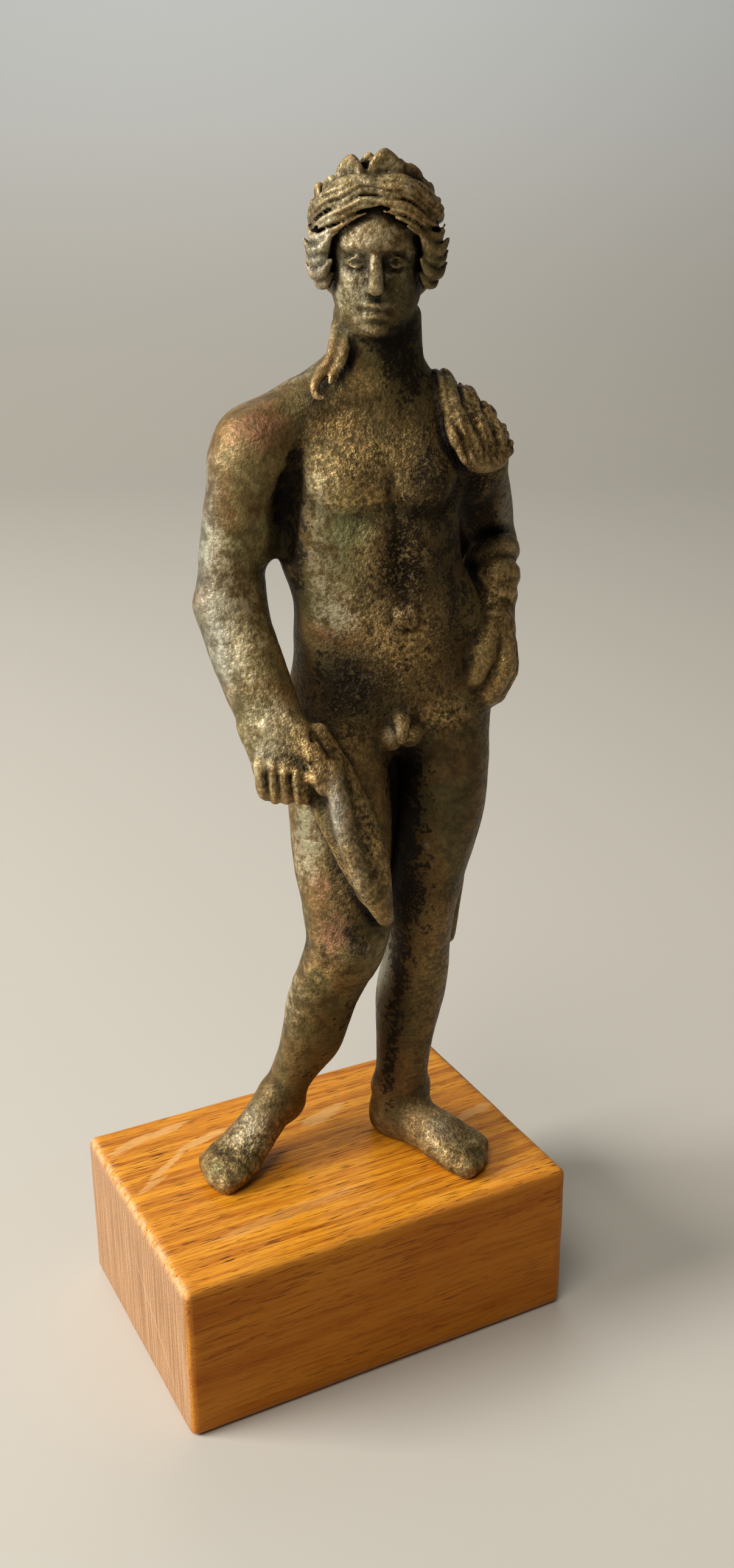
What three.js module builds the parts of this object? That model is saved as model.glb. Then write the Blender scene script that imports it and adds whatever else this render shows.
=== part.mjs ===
// A small cast bronze of a standing nude youth with a leafy wreath, on a block of oak.
// Millimetres, +Z up. The origin is the middle of the block's underside, and its long side faces -Y.
// The bronze is modelled as its wax was: rolls and lumps are laid on and smoothed into each other, swells
// are rubbed up and lines are scored. Each lump gives the distance to its own surface, less than nothing
// inside, and the skin of the casting is drawn where the sum of them all is nothing.
import * as THREE from "three";

const { min, max, abs, hypot, exp } = Math;

// The block is a sawn oak offcut with its edges planed off.
const BLOCK = { length: 60, depth: 41, height: 24, chamfer: 0.9 };

// The casting stands behind the middle of the block, turned a little to its own right. All sizes below are
// in its own frame: it looks along -Y, its left hand is at +X, and z is the height above the block's top.
const STAND = { x: 9, y: 1, turn: -15 };
const SOLE = 0.3;
const FIGURE = { low: [-31, -17, -1.2], high: [24.5, 13.5, 140.5] };

// The skin is first cut into facets as wide as `step`, or `fine` in the spans that the head takes up, and is
// then thinned to `keep` triangles, which leaves the most of them where it curves and on the head.
const FACETS = { step: 1, fine: 0.6, spans: [[-10, 10], [-17, 10], [112, 140.5]], keep: 9600, headWorth: 6 };

// A smooth join: within `soft` of each other, two surfaces run together in a fillet.
function blend(a, b, soft) {
  const near = max(soft - abs(a - b), 0) / soft;
  return min(a, b) - (near * near * soft) / 4;
}

function blendAll(soft, ...distances) {
  return distances.reduce((sum, next) => blend(sum, next, soft));
}

// A roll of wax along a straight line. Each station is [distance along, middle to its left, middle to its
// front, reach right, reach left, reach front, reach back].
function roll({ from = [0, 0, 0], to = [0, 0, 1], front = [0, -1, 0], cap = 3 }, stations) {
  const start = new THREE.Vector3(...from);
  const axis = new THREE.Vector3(...to).sub(start).normalize();
  const side = new THREE.Vector3().crossVectors(axis, new THREE.Vector3(...front)).normalize();
  const ahead = new THREE.Vector3().crossVectors(side, axis);
  const along = stations.map((station) => station[0]);
  const sections = new THREE.CubicInterpolant(along, stations.flatMap((station) => station.slice(1)), 6);
  const last = along[along.length - 1];
  const here = new THREE.Vector3();
  return (x, y, z) => {
    here.set(x, y, z).sub(start);
    const height = here.dot(axis);
    const level = min(max(height, along[0]), last);
    const [middle, fore, right, left, reachFront, reachBack] = sections.evaluate(level);
    const a = here.dot(side) - middle;
    const b = here.dot(ahead) - fore;
    const over = height - level;
    const share = hypot(a / (a < 0 ? right : left), b / (b > 0 ? reachFront : reachBack), over / cap);
    return hypot(a, b, over) * (1 - 1 / max(share, 0.001));
  };
}

// An egg-shaped lump.
function lump([cx, cy, cz], [rx, ry, rz]) {
  return (x, y, z) => {
    const share = hypot((x - cx) / rx, (y - cy) / ry, (z - cz) / rz);
    const steep = hypot((x - cx) / rx ** 2, (y - cy) / ry ** 2, (z - cz) / rz ** 2);
    return (share * (share - 1)) / max(steep, 0.001);
  };
}

// A cord of wax laid along a smooth line through the given points, thinning from one radius to the next.
function cord(points, radii, pieces = 4) {
  const corners = points.map((point) => new THREE.Vector3(...point));
  const path = new THREE.CatmullRomCurve3(corners, false, "centripetal");
  const count = (points.length - 1) * pieces;
  const knots = [];
  for (let i = 0; i <= count; i++) {
    const at = (i / count) * (radii.length - 1);
    const below = min(Math.floor(at), radii.length - 2);
    const radius = THREE.MathUtils.lerp(radii[below], radii[below + 1], at - below);
    knots.push({ at: path.getPoint(i / count), radius });
  }
  return (x, y, z) => {
    let nearest = Infinity;
    for (let i = 0; i < count; i++) {
      const a = knots[i].at;
      const b = knots[i + 1].at;
      const dx = b.x - a.x;
      const dy = b.y - a.y;
      const dz = b.z - a.z;
      const dot = (x - a.x) * dx + (y - a.y) * dy + (z - a.z) * dz;
      const t = min(max(dot / (dx * dx + dy * dy + dz * dz), 0), 1);
      const gap = hypot(x - a.x - t * dx, y - a.y - t * dy, z - a.z - t * dz);
      nearest = min(nearest, gap - THREE.MathUtils.lerp(knots[i].radius, knots[i + 1].radius, t));
    }
    return nearest;
  };
}

// A rubbed-up swelling, or with a height below nothing a hollow, that fades away over its three radii.
function swell([cx, cy, cz], [rx, ry, rz], height) {
  return (x, y, z) => height * exp(-(((x - cx) / rx) ** 2 + ((y - cy) / ry) ** 2 + ((z - cz) / rz) ** 2));
}

// A scored line along a smooth path, with a width and a depth.
function score(points, width, depth) {
  const line = cord(points, [0, 0]);
  return (x, y, z) => -depth * exp(-((max(line(x, y, z), 0) / width) ** 2));
}

// A part that has nothing below or above the two heights.
const FAR = 99;
function between(low, high, shape) {
  return (x, y, z) => (z < low || z > high ? FAR : shape(x, y, z));
}

function relief(marks, x, y, z) {
  return marks.reduce((sum, mark) => sum + mark(x, y, z), 0);
}

// The trunk: weight on the left leg pushes the left hip out and closes that flank.
const trunk = roll({ cap: 4 }, [
  [66, 2.6, -0.8, 11.6, 12.6, 6.2, 8.2],
  [70, 2.6, -0.7, 12.8, 13.7, 7.2, 8.8],
  [74, 2.6, -0.6, 12.9, 13.9, 7.6, 8.6],
  [79, 2.6, -0.4, 13.0, 13.2, 7.8, 7.0],
  [84, 2.5, -0.2, 13.1, 11.7, 8.4, 6.2],
  [89, 2.1, 0, 14.2, 9.9, 8.1, 6.2],
  [95, 1.3, 0.2, 14.3, 10.6, 8.2, 7.0],
  [100, 0.6, 0.2, 13.6, 11.4, 8.2, 7.4],
  [104, 0, 0, 13.5, 12.2, 7.0, 7.4],
  [108, -0.3, -0.4, 11, 10.8, 5.4, 6.4],
  [111, -0.4, -0.8, 7, 7, 4.4, 5],
]);
const rightShoulder = lump([-15.4, -0.6, 102.8], [5.2, 5.6, 6]);
const leftShoulder = lump([13.2, 1.6, 101.2], [5, 5.2, 5.6]);
const yoke = cord(
  [[-14.6, -0.2, 104.3], [-6, 1.2, 109.1], [0, 1.2, 110.2], [6, 1.4, 108.2], [12.8, 1.6, 102.5]],
  [5, 4.5, 5, 4.4, 4.2],
);
const neck = roll({ from: [-0.2, 1.4, 108], to: [0, -0.4, 120], cap: 3 }, [
  [0, 0, 0, 6.2, 7.4, 5.6, 6],
  [5, 0, 0, 5.0, 6.9, 5.3, 5.6],
  [12, 0, 0, 4.8, 6.2, 5.2, 5.6],
]);
const trunkRelief = [
  swell([-6.2, -8, 100.6], [5, 4, 4], 1.4),
  swell([6.8, -7.6, 100.8], [4.8, 4, 4], 1.4),
  score([[0.2, -8.6, 105], [0.8, -8.8, 97.5]], 0.9, 1),
  score([[-10.8, -5.2, 98.8], [-6.4, -8.3, 96], [-2.4, -8.9, 96.2], [0.4, -9, 97.6]], 1.2, 0.75),
  score([[1.4, -9, 97.8], [4.4, -8.8, 96.4], [8, -7.2, 96.8], [10.6, -5, 99.4]], 1.2, 0.75),
  score([[1.2, -9, 95], [2.2, -9, 87], [2.6, -9, 85.6]], 0.9, 0.7),
  score([[2.7, -9, 80.8], [2.6, -9, 75]], 0.9, 0.4),
  swell([-1.9, -8, 91.2], [2.4, 3, 3.4], 0.6),
  swell([5.2, -8, 91], [2.2, 3, 3.4], 0.6),
  swell([2.7, -9, 79.5], [5.4, 4, 4], 0.9),
  swell([2.7, -8.7, 83.3], [1.6, 2, 1.6], 0.65),
  score([[4.8, -8.4, 83], [2.7, -8.7, 85.5], [0.6, -8.4, 83], [2.8, -8.5, 81.1], [4.8, -8.4, 83]], 0.5, 0.4),
  swell([-9.6, -4, 79.5], [2.4, 4.4, 3.4], 0.6),
  swell([13.6, -3, 80], [2.6, 4.4, 3.4], 0.8),
  score([[-9.6, -6, 76.2], [-5.4, -8, 72.6], [-0.6, -8.4, 68.6]], 0.9, 0.5),
  score([[14.6, -4.6, 76.8], [9.4, -7.6, 72.8], [5.4, -8.4, 68.8]], 0.9, 0.5),
  score([[0, 8.2, 106], [0.8, 8, 96], [2.2, 7, 86], [2.6, 8.6, 77]], 1.3, 0.9),
  swell([-6.5, 7.4, 100.6], [3.4, 3, 4.4], 0.9),
  swell([7.5, 7.4, 100.6], [3.4, 3, 4.4], 0.7),
  score([[2.5, 9.6, 77], [2.5, 9.6, 63]], 1.2, 1.6),
  score([[-0.4, -4.6, 110.2], [-5.6, -4.6, 108.6], [-12.5, -4, 107]], 0.9, 0.35),
];

// The left leg carries the weight. The right one is free: its knee comes forward and its foot turns out.
const leftLeg = roll({ cap: 3 }, [
  [2, 3.8, -0.9, 3.4, 3.8, 3.6, 3.2],
  [7, 4.2, -0.3, 4.1, 4.2, 3.8, 3.9],
  [11, 4.4, -0.1, 3.9, 4.0, 3.7, 3.8],
  [16, 4.9, -0.3, 4.2, 4.2, 4.0, 4.8],
  [22, 5.7, -0.5, 5.0, 4.9, 4.4, 6.2],
  [27, 6.3, -0.3, 5.0, 5.0, 4.7, 6.3],
  [33, 6.9, 0.2, 4.5, 4.5, 5.0, 5.1],
  [37.5, 7.2, 0.6, 5.1, 4.6, 5.4, 4.9],
  [42, 7.9, 0.4, 5.4, 5.0, 5.6, 5.3],
  [48, 8.8, 0.4, 5.6, 5.8, 6.3, 5.9],
  [54, 9.5, 0.2, 5.8, 6.5, 6.9, 6.6],
  [60, 9.8, -0.2, 6.2, 6.7, 7.2, 7.4],
  [66, 9.5, -0.6, 6.4, 7.0, 7.0, 8.4],
  [72, 9.2, -0.8, 6.2, 6.8, 6.6, 8.0],
  [78, 8.6, -1, 4.6, 5, 4.6, 6],
]);
const rightLeg = roll({ cap: 3 }, [
  [8, -13.1, -1.2, 3.2, 2.6, 3.4, 3.4],
  [12, -12, -0.2, 3.6, 3.2, 3.6, 4.0],
  [17, -10.1, 1.6, 4.4, 4.4, 3.9, 5.0],
  [22, -8.6, 3.2, 5.2, 4.2, 4.2, 6.2],
  [26, -7.6, 4.6, 6.0, 3.9, 4.4, 6.3],
  [30, -6.5, 6.2, 6.5, 4.0, 4.6, 5.8],
  [34, -5.7, 7.6, 6.4, 4.9, 5.0, 5.4],
  [38, -5.5, 8.2, 5.6, 5.9, 5.4, 5.8],
  [42, -5.5, 7.5, 5.9, 6.2, 5.6, 6.2],
  [48, -5.4, 5.6, 6.8, 6.6, 6.2, 6.6],
  [54, -5.2, 3.6, 7.1, 6.9, 7.0, 7.0],
  [60, -5.0, 1.6, 7.3, 6.8, 7.4, 7.6],
  [66, -4.8, 0, 7.0, 6.6, 7.2, 8.4],
  [72, -4.4, -0.8, 6.2, 6.2, 6.6, 8.0],
  [78, -3.6, -1, 4.6, 4.6, 4.6, 6],
]);
const legRelief = [
  swell([6.8, -5.6, 39.4], [2.4, 2.4, 3], 0.3),
  swell([-5.4, -13.6, 38.4], [2.5, 2.4, 2.5], 0.7),
  swell([6.6, 6, 26], [3.4, 3, 5], 0.6),
  swell([-7.8, 2.2, 24.5], [3.4, 3, 5], 0.6),
  swell([-5.4, 9.4, 67.5], [5, 3.6, 5], 1.2),
  swell([9.8, 10, 68.5], [5, 3.6, 5], 1.3),
  swell([-16, 0.6, 10], [1.3, 1.6, 1.5], 0.6),
  swell([0.4, 0.4, 8.6], [1.3, 1.6, 1.5], 0.6),
  swell([8.6, 0.6, 7.6], [1.3, 1.6, 1.5], 0.6),
];

// A bare foot, from the heel's round back to the toes. `outside` is 1 where the little toe lies to the left
// of the way the foot points, `lift` is how far its heel is raised, and `length` is its share of a foot's.
function foot({ heel, heading, lift, length, outside }) {
  const turn = THREE.MathUtils.degToRad(heading);
  const ahead = [Math.sin(turn), -Math.cos(turn)];
  const place = (along, across, height) => [
    heel[0] + ahead[0] * along * length - ahead[1] * across * outside,
    heel[1] + ahead[1] * along * length + ahead[0] * across * outside,
    height,
  ];
  const sole = roll({ from: place(0, 0, 0), to: place(1, 0, 0), front: [0, 0, 1], cap: 2 }, [
    [0, 0, 2.6 + lift, 2.6, 2.6, 3, 2.9],
    [4 * length, 0, 2.5 + lift * 0.8, 3.1, 3.1, 4.6, 2.9],
    [8.5 * length, 0.3 * outside, 2.3 + lift * 0.4, 3.5, 3.5, 4.5, 2.2],
    [12.5 * length, 0, 2 + lift * 0.1, 4, 4, 3.5, 2.0],
    [15.5 * length, 0, 1.6, 4.0, 4.0, 2.3, 2.0],
  ]);
  const toes = [-2.3, -0.6, 0.8, 2, 3.1].map((across, i) => {
    const thick = i === 0 ? 1.7 : 1.25;
    const tip = i === 0 ? 17.7 : 18.3 - 0.2 * i * i;
    const toe = [place(12.5, across * 0.9, 2.2), place(15.8, across, 1.9), place(tip, across, 1.3)];
    return cord(toe, [thick, thick]);
  });
  return (x, y, z) => blend(sole(x, y, z), blendAll(0.7, ...toes.map((toe) => toe(x, y, z))), 1.6);
}
const leftFoot = foot({ heel: [2.6, 2.4], heading: 35, lift: 0, length: 1, outside: 1 });
const rightFoot = foot({ heel: [-13.1, 1.4], heading: -53, lift: 4.6, length: 0.85, outside: -1 });

// A rough web of metal closes the gap between the thighs from behind.
const web = cord([[1.7, -0.6, 36], [1.9, 0.6, 44], [2.2, 1.6, 57], [2.4, 1.6, 70]], [0.5, 1.5, 1.8, 2.2]);

function legs(x, y, z) {
  const left = blend(leftLeg(x, y, z), leftFoot(x, y, z), 2.4);
  const right = blend(rightLeg(x, y, z), rightFoot(x, y, z), 2.4);
  return blend(min(left, right), web(x, y, z), 1) - relief(legRelief, x, y, z);
}

// The right arm hangs a little bent, and its hand holds a long leaf-shaped object down along the thigh.
const rightUpperArm = roll({ from: [-18.9, 1.6, 84], to: [-16.4, -0.6, 103], cap: 4 }, [
  [0, 0, 0, 4.2, 4.1, 4.2, 4.2],
  [6, 0, 0, 4.6, 4.1, 4.5, 4.6],
  [12, 0, 0, 4.6, 4.6, 4.9, 4.9],
  [18, 0, 0, 4.6, 4.9, 5.2, 5.2],
]);
const outward = [-0.4, -0.9, 0];
const rightForearm = roll({ from: [-14.6, -7.4, 69.5], to: [-19.0, 1.4, 84.5], front: outward, cap: 2.5 }, [
  [0, 0, 0, 4.5, 4.0, 3.0, 2.8],
  [5, 0, 0, 4.9, 4.2, 3.4, 3.2],
  [12, 0, 0, 5.2, 4.3, 4.0, 3.9],
  [17.5, 0, 0, 4.2, 4.2, 4.0, 4.0],
]);
const rightArmpit = lump([-13.4, -0.2, 95], [2, 3.2, 4.6]);
const rightPalm = roll({ from: [-14.6, -9.8, 61.4], to: [-14.4, -7.6, 70], front: outward, cap: 2 }, [
  [0, 0, 0, 2.8, 4.0, 2.4, 2.4],
  [4, 0, 0, 3.9, 5.0, 2.8, 2.8],
  [8, 0, 0, 5.2, 4.4, 2.8, 2.8],
]);
const rightFingers = [0, 1, 2, 3].map((i) => {
  const x = -16.6 + i * 1.45;
  const y = -9.7 - i * 0.62;
  const low = 60.9 - i * 0.3;
  const bent = [[x - 0.4, y - 1, low + 4.4], [x, y - 1, low + 1.2], [x + 0.9, y + 0.8, low + 0.6]];
  return cord(bent, [1.1, 1.15, 0.95]);
});
const rightThumb = cord([[-11.6, -10.2, 68.4], [-10, -12.2, 65.6], [-9.6, -13.4, 62.6]], [1.9, 1.6, 1.3]);
const rightWeb = lump([-11.2, -11.6, 62.4], [1.9, 1.6, 2.6]);
const handRelief = [
  score([[-16.8, -11.9, 65], [-16.9, -11.8, 62.4]], 0.34, 0.5),
  score([[-15.8, -12.3, 65.3], [-15.5, -12.5, 61.4]], 0.34, 0.55),
  score([[-14.5, -12.8, 65.1], [-14, -12.8, 60.7]], 0.34, 0.6),
  score([[-13.1, -13.4, 64], [-12.7, -13.2, 60.4]], 0.34, 0.6),
  score([[-10, -10.7, 69.4], [-8.4, -12.1, 66.9], [-7.1, -13.5, 64.5]], 0.5, 0.9),
  score([[-10.6, -11.2, 69.2], [-10.7, -12.8, 65.8]], 0.45, 0.7),
  swell([-10.8, -14, 64.1], [0.9, 1.4, 0.8], 0.6),
  swell([-10.5, -13.4, 60.4], [1.5, 1.8, 3], -0.5),
];

function rightArm(x, y, z) {
  const arm = blendAll(3, rightUpperArm(x, y, z), rightForearm(x, y, z), rightArmpit(x, y, z));
  const fingers = blendAll(0.25, ...rightFingers.map((finger) => finger(x, y, z)));
  const hand = blendAll(1, rightPalm(x, y, z), fingers, rightThumb(x, y, z), rightWeb(x, y, z));
  return blend(arm, hand, 1.5) - relief(handRelief, x, y, z);
}

const heldAlong = { from: [-1.2, -13.4, 43.4], to: [-9.8, -9.6, 69.6], front: [0.1, -1, 0.2], cap: 1.2 };
const heldLeaf = roll(heldAlong, [
  [0, 0, 0, 1.1, 1.1, 1.2, 1.8],
  [3.4, 0, 0, 2.4, 2.1, 2.1, 2.6],
  [8.5, 0, 0, 3.4, 3.3, 2.4, 3.0],
  [13.5, 0, 0, 3.9, 3.4, 2.5, 3.2],
  [17.5, 0, 0, 4.3, 3.2, 2.4, 3.2],
  [22, 0, 0, 3.0, 2.6, 2.1, 2.6],
  [27, 0, 0, 1.6, 1.5, 1.2, 1.8],
]);
const heldRim = cord(
  [[-1.8, -14.8, 43.8], [-4.9, -15.2, 49.9], [-6.8, -14.9, 56], [-7.6, -14.1, 61], [-8.4, -12.9, 64.8]],
  [0.8, 1, 1.15, 1.3, 1.3],
);

function held(x, y, z) {
  return blend(heldLeaf(x, y, z), heldRim(x, y, z), 1.8);
}

// The left arm is bent, its forearm wound in the cloak and its hand laid on the hip with the fingers down.
const leftUpperArm = roll({ from: [18.8, 9.4, 88.4], to: [13.9, 1.8, 102.5], cap: 3.4 }, [
  [0, 0, 0, 3.4, 3.5, 3.6, 3.6],
  [6, 0, 0, 3.6, 4.1, 4.0, 4.0],
  [12, 0, 0, 3.8, 4.2, 4.4, 4.4],
  [16, 0, 0, 4.0, 4.0, 4.6, 4.6],
]);
const leftForearm = cord([[18.8, 9.4, 88], [17.6, 3.4, 83.8], [17, -1, 79]], [3.7, 3.2, 2.6]);
const leftPalm = roll({ from: [16.2, -2, 80.6], to: [15.2, -3.4, 70], front: [0.2, -1, 0], cap: 1.6 }, [
  [0, 0, 0, 2.2, 2.2, 2.0, 2.6],
  [4, 0, 0, 2.9, 3.0, 2.2, 3.0],
  [8, 0, 0, 2.8, 3.0, 2.0, 3.0],
  [10.6, 0, 0, 1.9, 2.2, 1.4, 2.4],
]);
const leftFingers = [
  cord([[15, -3.8, 79], [14, -4.9, 76.6], [13, -5.2, 73.8]], [1.5, 1.9, 1.4]),
  cord([[17.4, -3.4, 77.8], [17, -4.6, 74.6], [15.2, -4.7, 70.8]], [1.4, 1.8, 1.3]),
  cord([[18.6, -1.8, 76.6], [18.4, -2.6, 73.2], [17, -3, 70]], [1.2, 1.4, 1]),
];

function leftArm(x, y, z) {
  const arm = blend(leftUpperArm(x, y, z), leftForearm(x, y, z), 1.6);
  const fingers = blendAll(0.7, ...leftFingers.map((finger) => finger(x, y, z)));
  return blend(arm, blend(leftPalm(x, y, z), fingers, 1.2), 1.2);
}

// The short cloak: four rope-like folds over the left shoulder, a fall behind the arm, two turns round the
// forearm, and an end that hangs down behind the left thigh.
const cloakFolds = [
  [[11.9, -5.6, 102.2], [9.8, -4.9, 107], [9, 0, 111.4], [9.2, 5.2, 108.8], [10.4, 8.2, 101]],
  [[13.6, -5.2, 102.1], [12.6, -4.4, 106], [11.9, 0, 109.5], [11.9, 4.8, 107.4], [12.4, 7.8, 100]],
  [[15.2, -4.3, 102.2], [15, -3.2, 104.8], [14.5, 0.2, 107.2], [14.5, 4.6, 105.6], [14.6, 7.6, 99]],
  [[16.4, -2.6, 102.7], [16.8, -1.2, 103.6], [16.7, 0.6, 104.6], [16.8, 4.4, 103.2], [16.6, 7.4, 98]],
].map((path) => cord(path, [1.5, 1.55, 1.65, 1.7, 1.8]));
const cloakTip = cord([[9.8, -5, 107], [9.2, -6.2, 105], [10.4, -7, 102.4]], [0.8, 0.75, 0.3]);
const cloakFall = roll({ from: [15.6, 8, 87], to: [12.8, 7.4, 103], cap: 2 }, [
  [0, 0, 0, 3.6, 4, 1.7, 2.2],
  [8, 0, 0, 4.4, 4.4, 1.8, 2.6],
  [16, 0, 0, 4.4, 4, 2, 2.2],
]);
// Each turn round the forearm is a ring, set across it and a little askew.
const cloakTurns = [
  { at: [17.4, 3.8, 87.2], reach: 2.5, thick: 1.7, rise: 1.4 },
  { at: [16.9, 2, 84], reach: 2.5, thick: 1.8, rise: 1.6 },
  { at: [16.5, 0.6, 81.4], reach: 2.3, thick: 1.6, rise: 2 },
].map(({ at, reach, thick, rise }) => {
  const ring = [0, 1, 2, 3, 4, 5, 6, 7, 8].map((i) => {
    const turn = (i / 8) * 2 * Math.PI;
    const across = Math.cos(turn) * reach;
    const over = Math.sin(turn) * reach;
    return [at[0] + across, at[1] - over * 0.62, at[2] + over * 0.78 + across * rise * 0.3];
  });
  return cord(ring, [thick, thick], 2);
});
const cloakEnd = roll({ from: [13.2, 7.4, 28.4], to: [17.6, 6.6, 84], cap: 1.2 }, [
  [0, -0.6, 0, 2.6, 1.9, 0.9, 0.9],
  [8, -0.8, 0, 3.6, 2.4, 1.3, 1.4],
  [22, -0.9, 0, 4.2, 2.4, 1.5, 1.7],
  [34, -0.7, -0.6, 4.2, 2.1, 2.0, 1.9],
  [44, -0.5, 0, 3.8, 2.1, 2.2, 1.9],
  [56, 0, 0, 3.4, 2.8, 2.6, 2],
]);
const cloakRelief = [
  score([[11.6, 8.8, 27], [13.2, 9.2, 40], [14.4, 9.6, 56], [15.8, 9.4, 82]], 0.7, 0.9),
  score([[14.4, 8.6, 27], [15.4, 8.8, 42], [16.8, 9.2, 58], [17.6, 9.2, 82]], 0.6, 0.8),
  score([[12.8, 10.4, 86], [11.2, 10.4, 100]], 0.7, 0.9),
  score([[15.8, 10.2, 86], [13.8, 10.4, 99]], 0.7, 0.9),
];

function cloak(x, y, z) {
  const folds = blendAll(0.6, ...cloakFolds.map((fold) => fold(x, y, z)), cloakTip(x, y, z));
  const turns = blendAll(0.8, ...cloakTurns.map((turn) => turn(x, y, z)));
  const hanging = blend(cloakFall(x, y, z), cloakEnd(x, y, z), 2) - relief(cloakRelief, x, y, z);
  return blendAll(1, folds, turns, hanging);
}

// The head has a frame of its own: its middle is halfway from the chin to the crown, and it looks along -Y.
const HEAD = { at: [0.45, -0.8, 126.2], turn: -13 };
const skull = lump([0, 1, 2.2], [6.4, 7, 6.8]);
const face = roll({ cap: 1.6 }, [
  [-7.6, 0, 2.6, 3.2, 3.2, 3.5, 4],
  [-5.4, 0, 1.4, 4.9, 4.9, 4.8, 4],
  [-2.6, 0, 0, 5.7, 5.7, 6.1, 5],
  [0.6, 0, 0, 5.9, 5.9, 6.0, 6.4],
  [3.4, 0, 0, 5.9, 5.9, 6.5, 7],
  [6, 0, -0.4, 5.6, 5.6, 6, 6.6],
]);
const nose = cord([[0, -5.8, 1.8], [0, -6.4, -0.8], [0, -6.9, -2.8]], [0.7, 0.8, 0.95]);
const faceRelief = [-1, 1].flatMap((hand) => [
  swell([hand * 2.3, -6.2, 1.8], [2.4, 1.6, 0.7], 0.5),
  swell([hand * 2.4, -5.8, 0], [1.7, 1.8, 1.1], -1.3),
  swell([hand * 3.3, -5.2, -2.2], [2, 2, 1.8], 0.35),
  swell([hand * 1.05, -6.9, -3.2], [0.7, 0.9, 0.6], 0.45),
]).concat([
  swell([0, -6.5, -4.9], [1.7, 1.1, 0.5], 0.6),
  swell([0, -6.4, -6.1], [1.3, 1.1, 0.5], 0.6),
  score([[-1.9, -6, -5.5], [0, -6.6, -5.5], [1.9, -6, -5.5]], 0.4, 0.5),
  swell([0, -6.2, -6.9], [1.8, 1, 0.4], -0.3),
  swell([0, -6.3, -8], [1.5, 1.3, 1], 0.5),
]);
const eyes = [-1, 1].map((hand) => lump([hand * 2.35, -4.2, 0], [1.4, 1.15, 0.85]));

// Waved hair, parted in the middle under a smooth roll, with curls at the temples. The wreath is a row of
// cupped leaves that stand up behind the roll and go all the way round.
const hairMass = lump([0, 1.6, 2.4], [7.3, 7.5, 6.7]);
// The locks of one side, from the parting down to the nape, and the radii of each along its length.
const LOCKS = [
  [
    [[0, -6.1, 8.9], [2.6, -5.9, 8.8], [5, -4.4, 7.8], [6.9, -2.2, 6.3], [7.8, -0.2, 5.4]],
    [0.8, 1.15, 1.15, 1, 0.6],
  ],
  [
    [[0, -6.6, 7.6], [2.4, -6.7, 7.5], [4.8, -5.5, 6.4], [6.6, -3.4, 5.1], [7.7, -1.8, 4.6]],
    [0.8, 1.05, 1.1, 0.95, 0.5],
  ],
  [
    [[0.2, -6.8, 6.4], [1.9, -6.9, 6.4], [3.8, -6.3, 5.2], [5.6, -4.9, 4.2], [7, -3.1, 3.8]],
    [0.5, 0.9, 0.95, 0.9, 0.4],
  ],
  [[[1, -6.7, 5.7], [2.9, -6.4, 5.2], [4.6, -5.4, 3.9], [6.2, -3.8, 2.8]], [0.3, 0.5, 0.65, 0.4]],
  [[[5.3, -4.8, 4.2], [6.4, -4, 3.2], [7.5, -2.9, 3.1], [8.3, -1.9, 4.2]], [0.4, 0.9, 0.8, 0.3]],
  [[[5.5, -4.6, 2.6], [6.6, -3.9, 1.5], [7.7, -2.8, 1.3], [8.5, -1.9, 2.2]], [0.4, 0.95, 0.85, 0.3]],
  [[[5.6, -4.3, 0.9], [6.6, -3.7, -0.2], [7.6, -2.6, -0.3], [8.3, -1.7, 0.6]], [0.4, 0.9, 0.8, 0.3]],
  [[[5.4, -3.9, -0.8], [6.3, -3.3, -2], [7.1, -2.3, -2.3], [7.8, -1.6, -1.4]], [0.4, 0.85, 0.7, 0.3]],
  [[[6.6, -2.2, 3.6], [7.4, -1.2, 1.6], [7.6, 0.2, -0.4], [7.2, 1.2, -2.4]], [0.8, 1, 0.9, 0.4]],
  [[[6.4, 0.4, 2.4], [7.2, 1.4, 0.4], [6.9, 2.6, -1.6], [6.6, 3.2, -3.2]], [1.2, 1.2, 1, 0.4]],
  [[[6.3, 3, 2.4], [6.8, 4, 0], [6, 5, -2.4], [5.2, 5, -4.2]], [1.2, 1.3, 1.1, 0.4]],
];
const locks = [-1, 1].flatMap((side) => LOCKS.map(([path, radii]) => (
  cord(path.map(([across, back, up]) => [side * across, back, up]), radii)
)));
const nape = [-4.4, -1.5, 1.5, 4.4].map((across) => cord(
  [[across, 7.4, 3], [across * 0.8, 7.6, -2], [across * 0.6, 5.8, -6]],
  [2, 1.9, 1.2],
));
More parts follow.
